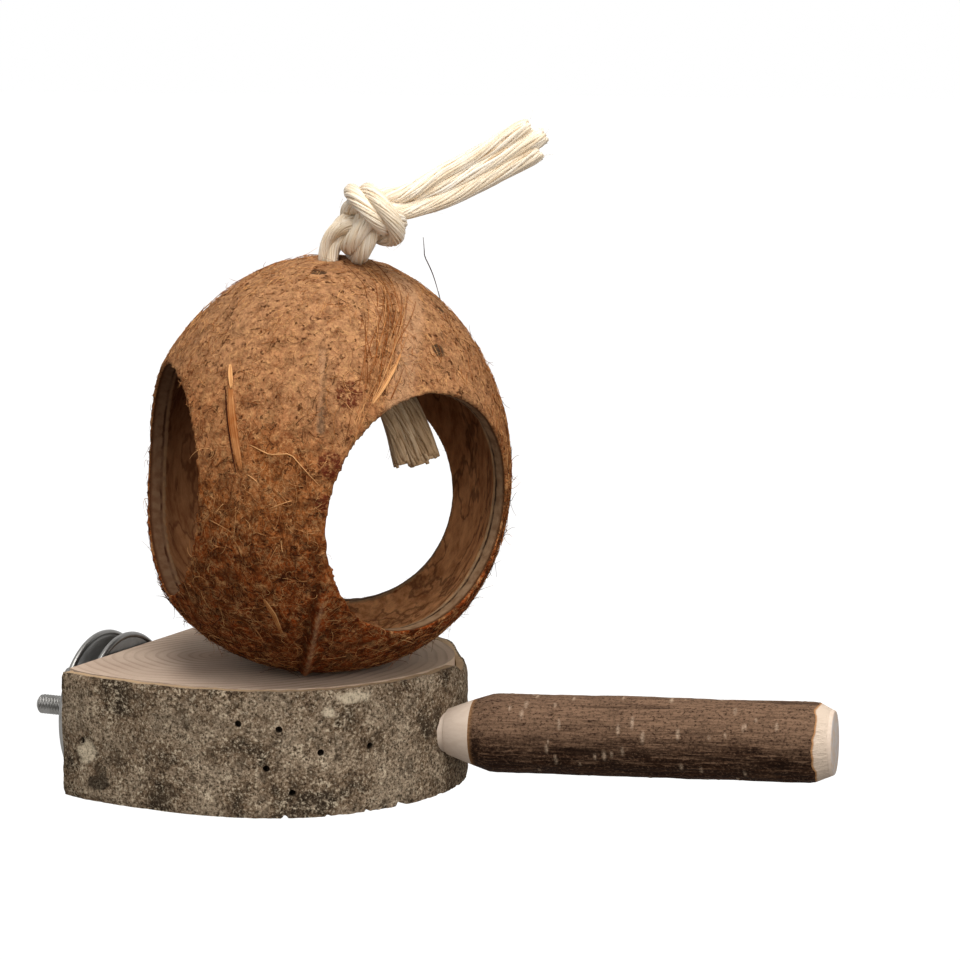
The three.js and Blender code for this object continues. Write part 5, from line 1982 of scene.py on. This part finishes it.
@dataclass
class Perch:
    """Straight branch with its bark on, a cone at its seat and a chamfer at its tip."""

    level: float = 1.6 * MM
    yaw: float = math.radians(11.7)
    rise: float = math.radians(1.2)
    length: float = 112.4 * MM
    wood_radius: float = 9.5 * MM
    bark_gap: float = 0.3 * MM
    bark: float = 1.6 * MM
    nose_radius: float = 6 * MM
    nose_depth: float = 6 * MM
    collar_radius: float = 6.6 * MM
    cone: float = 7.9 * MM
    tip_radius: float = 9 * MM
    tip_chamfer: float = 1.1 * MM
    rows: int = 230
    sides: int = 170
    slope_rows: int = 6
    pores: int = 84
    pore_seed: int = 31
    pore_margin: float = 3 * MM
    pore_sizes: tuple = (0.22, 0.55)
    rib_relief: float = 0.24
    lump_relief: float = 0.3
    fine_relief: float = 0.1
    pore_relief: float = 0.12

    def __post_init__(self) -> None:
        """Work out the perch's axis from the slice."""
        trunk = LogSlice()
        reach = float(trunk.trunk_radius(np.zeros(1))[0])
        self.start = Vector((trunk.centre[0] + reach, trunk.centre[1], self.level))
        flat = math.cos(self.rise)
        self.direction = Vector(
            (math.cos(self.yaw) * flat, math.sin(self.yaw) * flat, math.sin(self.rise))
        )

    def build(self) -> None:
        """Make the wood and its bark."""
        wood = Bench.spun(
            "perch_core",
            [
                (0, -self.nose_depth),
                (self.nose_radius, -self.nose_depth),
                (self.nose_radius, 0),
                (self.collar_radius, 0),
                (self.wood_radius, self.cone),
                (self.wood_radius, self.length - self.tip_chamfer),
                (self.tip_radius, self.length),
                (0, self.length),
            ],
            96,
        )
        Bench.bevel(wood, 0.4 * MM, 0.3)
        Bench.lay(wood, self.start, self.direction)
        Bench.smooth(wood, 30)
        finish = TurnedWoodFinish().material(self.direction, self.start + self.direction * self.length)
        Bench.deliver(wood, Body.HOUSE, Slot.PERCH_WOOD, finish, ["perch_wood"])
        finish = PerchBarkFinish().material(self.direction, self.start)
        Bench.deliver(self.make_bark(), Body.HOUSE, Slot.PERCH_BARK, finish, ["perch_bark"])

    def make_bark(self) -> Piece:
        """Model the bark as a closed rough sleeve, cut to a slope at both ends."""
        inside = self.wood_radius + 0.05 * MM
        outside = self.wood_radius + self.bark_gap + self.bark
        slope = (self.wood_radius - self.collar_radius) / self.cone
        tip_slope = (self.wood_radius - self.tip_radius) / self.tip_chamfer
        tip_start = self.length - self.tip_chamfer
        low = self.cone + (outside - self.wood_radius) / slope
        high = tip_start - (outside - self.wood_radius) / tip_slope
        turn = np.arange(self.sides) * 2 * math.pi / self.sides
        around = np.stack([np.cos(turn), np.sin(turn), 0 * turn], axis=1)
        wave = rough(around, (1.4, 1.4, 1.4), 4, 3.0) * MM
        places = self.pore_places(low, high)
        rings, marks = [], []
        for share in np.linspace(0, 1, self.rows):
            station = low + (high - low) * share + wave * (0.4 + 0.8 * share)
            base = around * outside + np.stack([0 * turn, 0 * turn, station], axis=1)
            ribs = rough(base, (560, 560, 24), 3)
            lumps = rough(base, (110, 110, 45), 3, 6.0)
            fine = rough(base, (1000, 1000, 200), 3, 2.0)
            pore = self.pore_mask(turn, station, outside, places)
            ends = smooth_step(0.02, 0.0, share) + smooth_step(0.98, 1.0, share)
            relief = ribs * self.rib_relief + lumps * self.lump_relief
            relief = relief + fine * self.fine_relief + pore * self.pore_relief
            lift = relief * (1 - 0.7 * ends) - 0.15 * ends
            rings.append(around * (outside + lift * MM)[:, None] + base * (0, 0, 1))
            # hollow: the relief's low places, darkened in the material as painted shade
            marks.append((np.clip(-ribs * 0.9 - lumps * 0.5, 0, 1), 0 * turn, pore))
        ends = (
            (rings[-1], tip_start - (inside - self.wood_radius) / tip_slope, 1.0, False),
            (rings[0], self.cone + (inside - self.wood_radius) / slope, 0.09, True),
        )
        for edge, station, most, back in ends:
            shares = np.linspace(0, 1, self.slope_rows + 1)[1:]
            last = around * inside + np.array((0, 0, station))
            for share in shares[::-1] if back else shares:
                rings.append(edge + (last - edge) * share)
                marks.append((0 * turn, 0 * turn + most * share, 0 * turn))
        faces = Bench.woven(len(rings), self.sides, around=True, closed=True)
        piece = Bench.from_mesh("perch_sleeve", np.array(rings), faces)
        for index, name in enumerate(("hollow", "depth", "pore")):
            Bench.mark(piece, name, np.concatenate([row[index] for row in marks]))
        Bench.clean(piece)
        Bench.lay(piece, self.start, self.direction)
        Bench.smooth(piece, 50)
        return piece

    def pore_places(self, low: float, high: float) -> list[tuple[float, float, float]]:
        """Choose where the pale pores sit.

        Args:
            low: First station of the bark.
            high: Last station of the bark.

        Returns:
            Turn, station and size of each pore.
        """
        chance = random.Random(self.pore_seed)
        return [
            (
                chance.uniform(-math.pi, math.pi),
                chance.uniform(low + self.pore_margin, high - self.pore_margin),
                chance.uniform(*self.pore_sizes) * MM,
            )
            for _ in range(self.pores)
        ]

    @staticmethod
    def pore_mask(
        turn: Rows, station: Rows, reach: float, places: Sequence[tuple[float, float, float]]
    ) -> Rows:
        """Share of each point that lies on a pore, which is longer round the branch than along it."""
        mask = np.zeros(len(turn))
        for pore_turn, pore_station, size in places:
            if np.abs(station - pore_station).min() > 3 * size:
                continue
            offset = wrapped(turn - pore_turn) * reach
            off = np.hypot(offset / 3.0, station - pore_station) / size
            mask = np.maximum(mask, smooth_step(1.5, 0.3, off))
        return mask


@dataclass
class WireClamp:
    """Threaded stud, two dished discs and a wing nut."""

    stud_radius: float = 3 * MM
    stud_buried: float = 42 * MM
    stud_out: float = 33 * MM
    thread_pitch: float = 1 * MM
    thread_depth: float = 0.45 * MM
    wood_pitch: float = 2.6 * MM
    wood_depth: float = 0.9 * MM
    disc_radius: float = 24.3 * MM
    sheet: float = 1.2 * MM
    flat_radius: float = 9 * MM
    dish: float = 1.6 * MM
    rim: float = 1 * MM
    bore: float = 3.3 * MM
    seat_gap: float = 0.3 * MM
    wire_gap: float = 6 * MM
    stud_sides: int = 32
    steps_per_pitch: int = 8
    end_length: float = 0.8 * MM
    end_depth: float = 0.9 * MM
    point_length: float = 6 * MM
    rim_steps: int = 14
    disc_steps: int = 120
    nut_radius: float = 6.2 * MM
    nut_flange: float = 1 * MM
    nut_top_radius: float = 4.8 * MM
    nut_height: float = 6.5 * MM
    wing_half: float = 1.1 * MM
    wing_steps: int = 10
    wing_curves = (
        ((4.0, 1.6), (10.0, 1.6), (12.5, 7.35)),
        ((12.5, 7.35), (12.5, 10.5), (9.75, 10.5)),
        ((9.75, 10.5), (7.5, 6.5), (4.0, 6.5)),
    )
    out: Vector = Vector((-1, 0, 0))

    def build(self) -> None:
        """Make all four pieces."""
        steel = SteelFinish().material()
        Bench.deliver(self.stud(), Body.HOUSE, Slot.STEEL, steel, ["hanger_bolt"])
        inner = self.disc("clamp_disc_inner")
        Bench.lay(inner, self.out * self.seat_gap, self.out)
        Bench.deliver(inner, Body.HOUSE, Slot.STEEL, steel, ["inner_clamp_disc"])
        outer = self.disc("clamp_disc_outer")
        outer.data.transform(Matrix.Rotation(math.pi, 4, "X"))
        outer_end = self.seat_gap + 2 * (self.sheet / 2 + self.dish + self.rim) + self.wire_gap
        Bench.lay(outer, self.out * outer_end, self.out)
        Bench.deliver(outer, Body.OUTER_DISC, Slot.STEEL, steel, ["outer_clamp_disc"])
        nut = self.wing_nut()
        Bench.lay(nut, self.out * (outer_end + self.seat_gap), self.out)
        Bench.smooth(nut, 35)
        Bench.deliver(nut, Body.WING_NUT, Slot.STEEL, steel, ["wing_nut"])

    def stud(self) -> Piece:
        """Model the hanger bolt with a wood thread and a machine thread."""
        step = self.thread_pitch / self.steps_per_pitch
        turn = np.arange(self.stud_sides) * 2 * math.pi / self.stud_sides
        around = np.stack([np.cos(turn), np.sin(turn), 0 * turn], axis=1)
        rings = []
        for height in np.arange(-self.stud_buried, self.stud_out + step / 2, step):
            pitch = self.thread_pitch if height > 0 else self.wood_pitch
            wave = np.abs(((height / pitch - turn / (2 * math.pi)) % 1) - 0.5) * 2
            if height > 0:
                end = np.clip((self.stud_out - height) / self.end_length, 0, 1)
                most = self.stud_radius - self.end_depth * (1 - end)
                radius = np.minimum(self.stud_radius - self.thread_depth * wave, most)
            else:
                flank = np.clip(wave * 1.6, 0, 1)
                point = np.clip((height + self.stud_buried) / self.point_length, 0.05, 1)
                most = self.stud_radius * point
                radius = np.minimum(self.stud_radius - self.wood_depth * flank, most)
            rings.append(around * radius[:, None] + (0, 0, height))
        faces = Bench.tube_faces(len(rings), self.stud_sides)
        piece = Bench.from_mesh("clamp_stud", np.array(rings), faces)
        Bench.lay(piece, Vector((0, 0, 0)), self.out)
        Bench.clean(piece)
        Bench.smooth(piece, 40)
        return piece

    def disc(self, name: str) -> Piece:
        """Spin a dished disc with a rolled rim, flat middle at height 0 and rim above it."""
        rim_centre = self.disc_radius - self.rim
        rim_height = self.sheet / 2 + self.dish
        width = rim_centre - self.flat_radius
        dish = [
            (self.flat_radius + width * share, self.dish * (0.55 * share + 0.45 * share**2))
            for share in (0.15, 0.35, 0.55, 0.75, 0.9)
        ]
        turns = [1.5 * math.pi * (i / self.rim_steps - 0.5) for i in range(self.rim_steps + 1)]
        flat = self.flat_radius - 1 * MM
        profile = [
            (self.bore, 0.0),
            (flat, 0.0),
            *dish,
            *((rim_centre + self.rim * math.cos(t), rim_height + self.rim * math.sin(t)) for t in turns),
            *((radius, height + self.sheet) for radius, height in reversed(dish)),
            (flat, self.sheet),
            (self.bore, self.sheet),
            (self.bore, 0.0),
        ]
        piece = Bench.spun(name, profile, self.disc_steps)
        Bench.smooth(piece, 40)
        return piece

    def wing_nut(self) -> Piece:
        """Model the wing nut with its base at height 0."""
        profile = [
            (self.bore, 0),
            (self.nut_radius, 0),
            (self.nut_radius, self.nut_flange),
            (self.nut_top_radius, self.nut_height),
            (self.bore, self.nut_height),
            (self.bore, 0),
        ]
        body = Bench.spun("clamp_wing_nut", profile, 64)
        for sense in (1, -1):
            Bench.cut(body, self.wing(sense), "UNION")
        Bench.bevel(body, 0.35 * MM, 0.6)
        return body

    def wing(self, sense: int) -> Piece:
        """Model one wing, standing out along X with its flat across Y."""
        outline = []
        for a, b, c in np.array(self.wing_curves):
            for t in np.arange(self.wing_steps) / self.wing_steps:
                outline.append((1 - t) ** 2 * a + 2 * t * (1 - t) * b + t * t * c)
        outline.append(np.array(self.wing_curves[-1][-1]))
        count = len(outline)
        sides = (-self.wing_half, self.wing_half)
        points = [(sense * x * MM, side, z * MM) for side in sides for x, z in outline]
        faces = [list(range(count)), list(range(2 * count - 1, count - 1, -1))]
        for i in range(count):
            after = (i + 1) % count
            faces.append([i, i + count, after + count, after])
        piece = Bench.from_mesh("wing", np.array(points), faces)
        Bench.clean(piece)
        return piece


@dataclass
class ShellFixing:
    """Screw and washer on the shell's floor, and the hidden dowel screw."""

    centre: tuple = SHELL_CENTRE
    washer_foot: float = 25.3 * MM
    washer_radius: float = 8 * MM
    washer_thickness: float = 1.4 * MM
    bore: float = 1.8 * MM
    head_foot: float = 27 * MM
    head_radius: float = 3 * MM
    head_height: float = 2 * MM
    shank_radius: float = 1.5 * MM
    length: float = 28 * MM
    point: float = 5 * MM
    driver_slot: tuple = (3.2 * MM, 0.7 * MM, 2 * MM, 1)
    driver_turn: float = 0.5

    def build(self) -> None:
        """Make the screw and its washer and dress the dowel screw."""
        steel = bpy.data.materials["plated steel"]
        place = Matrix.Translation((*self.centre, 0))
        low, high = self.washer_foot, self.washer_foot + self.washer_thickness
        profile = [
            (self.bore, low),
            (self.washer_radius, low),
            (self.washer_radius, high),
            (self.bore, high),
            (self.bore, low),
        ]
        washer = Bench.spun("floor_washer", profile, 72)
        Bench.bevel(washer, 0.25 * MM, 0.6)
        washer.data.transform(place)
        Bench.smooth(washer, 35)
        Bench.deliver(washer, Body.HOUSE, Slot.STEEL, steel, ["shell_washer"])
        screw = self.screw()
        screw.data.transform(place)
        Bench.smooth(screw, 30)
        Bench.deliver(screw, Body.HOUSE, Slot.STEEL, steel, ["shell_screw"])
        Bench.dress(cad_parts["perch_dowel_screw"], steel)

    def screw(self) -> Piece:
        """Model the wood screw upright, with its cross-shaped driver slot."""
        tip = self.head_foot - self.length
        top = self.head_foot + self.head_height
        profile = [
            (0, tip),
            (self.shank_radius, tip + self.point),
            (self.shank_radius, self.head_foot),
            (self.head_radius, self.head_foot),
            (self.head_radius, self.head_foot + 0.6 * MM),
            (self.head_radius * 0.86, top - 0.7 * MM),
            (self.head_radius * 0.55, top - 0.15 * MM),
            (0, top),
        ]
        screw = Bench.spun("floor_screw", profile, 48)
        for turn in (0, math.pi / 2):
            Bench.clear()
            bpy.ops.mesh.primitive_cube_add(size=1)
            slot = Bench.take("driver slot")
            turned = Matrix.Rotation(turn + self.driver_turn, 4, "Z")
            lifted = Matrix.Translation((0, 0, top)) @ turned
            slot.data.transform(lifted @ Matrix.Diagonal(self.driver_slot))
            Bench.cut(screw, slot)
        return screw


def main() -> None:
    """Build the bird house and its studio in order."""
    logging.basicConfig(level=logging.INFO, format="%(message)s")
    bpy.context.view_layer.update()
    studio = Studio()
    studio.camera()
    builders: list[tuple[str, Callable[[], None]]] = [
        ("rope", SisalRope().build),
        ("coconut", CoconutShell().build),
        ("log slice", LogSlice().build),
        ("perch", Perch().build),
        ("wire clamp", WireClamp().build),
        ("fixing", ShellFixing().build),
        ("floor", studio.floor),
        ("light", studio.light),
    ]
    for label, build in builders:
        LOG.info("building the %s", label)
        build()
    Bench.clear()


if __name__ == "__main__":
    main()
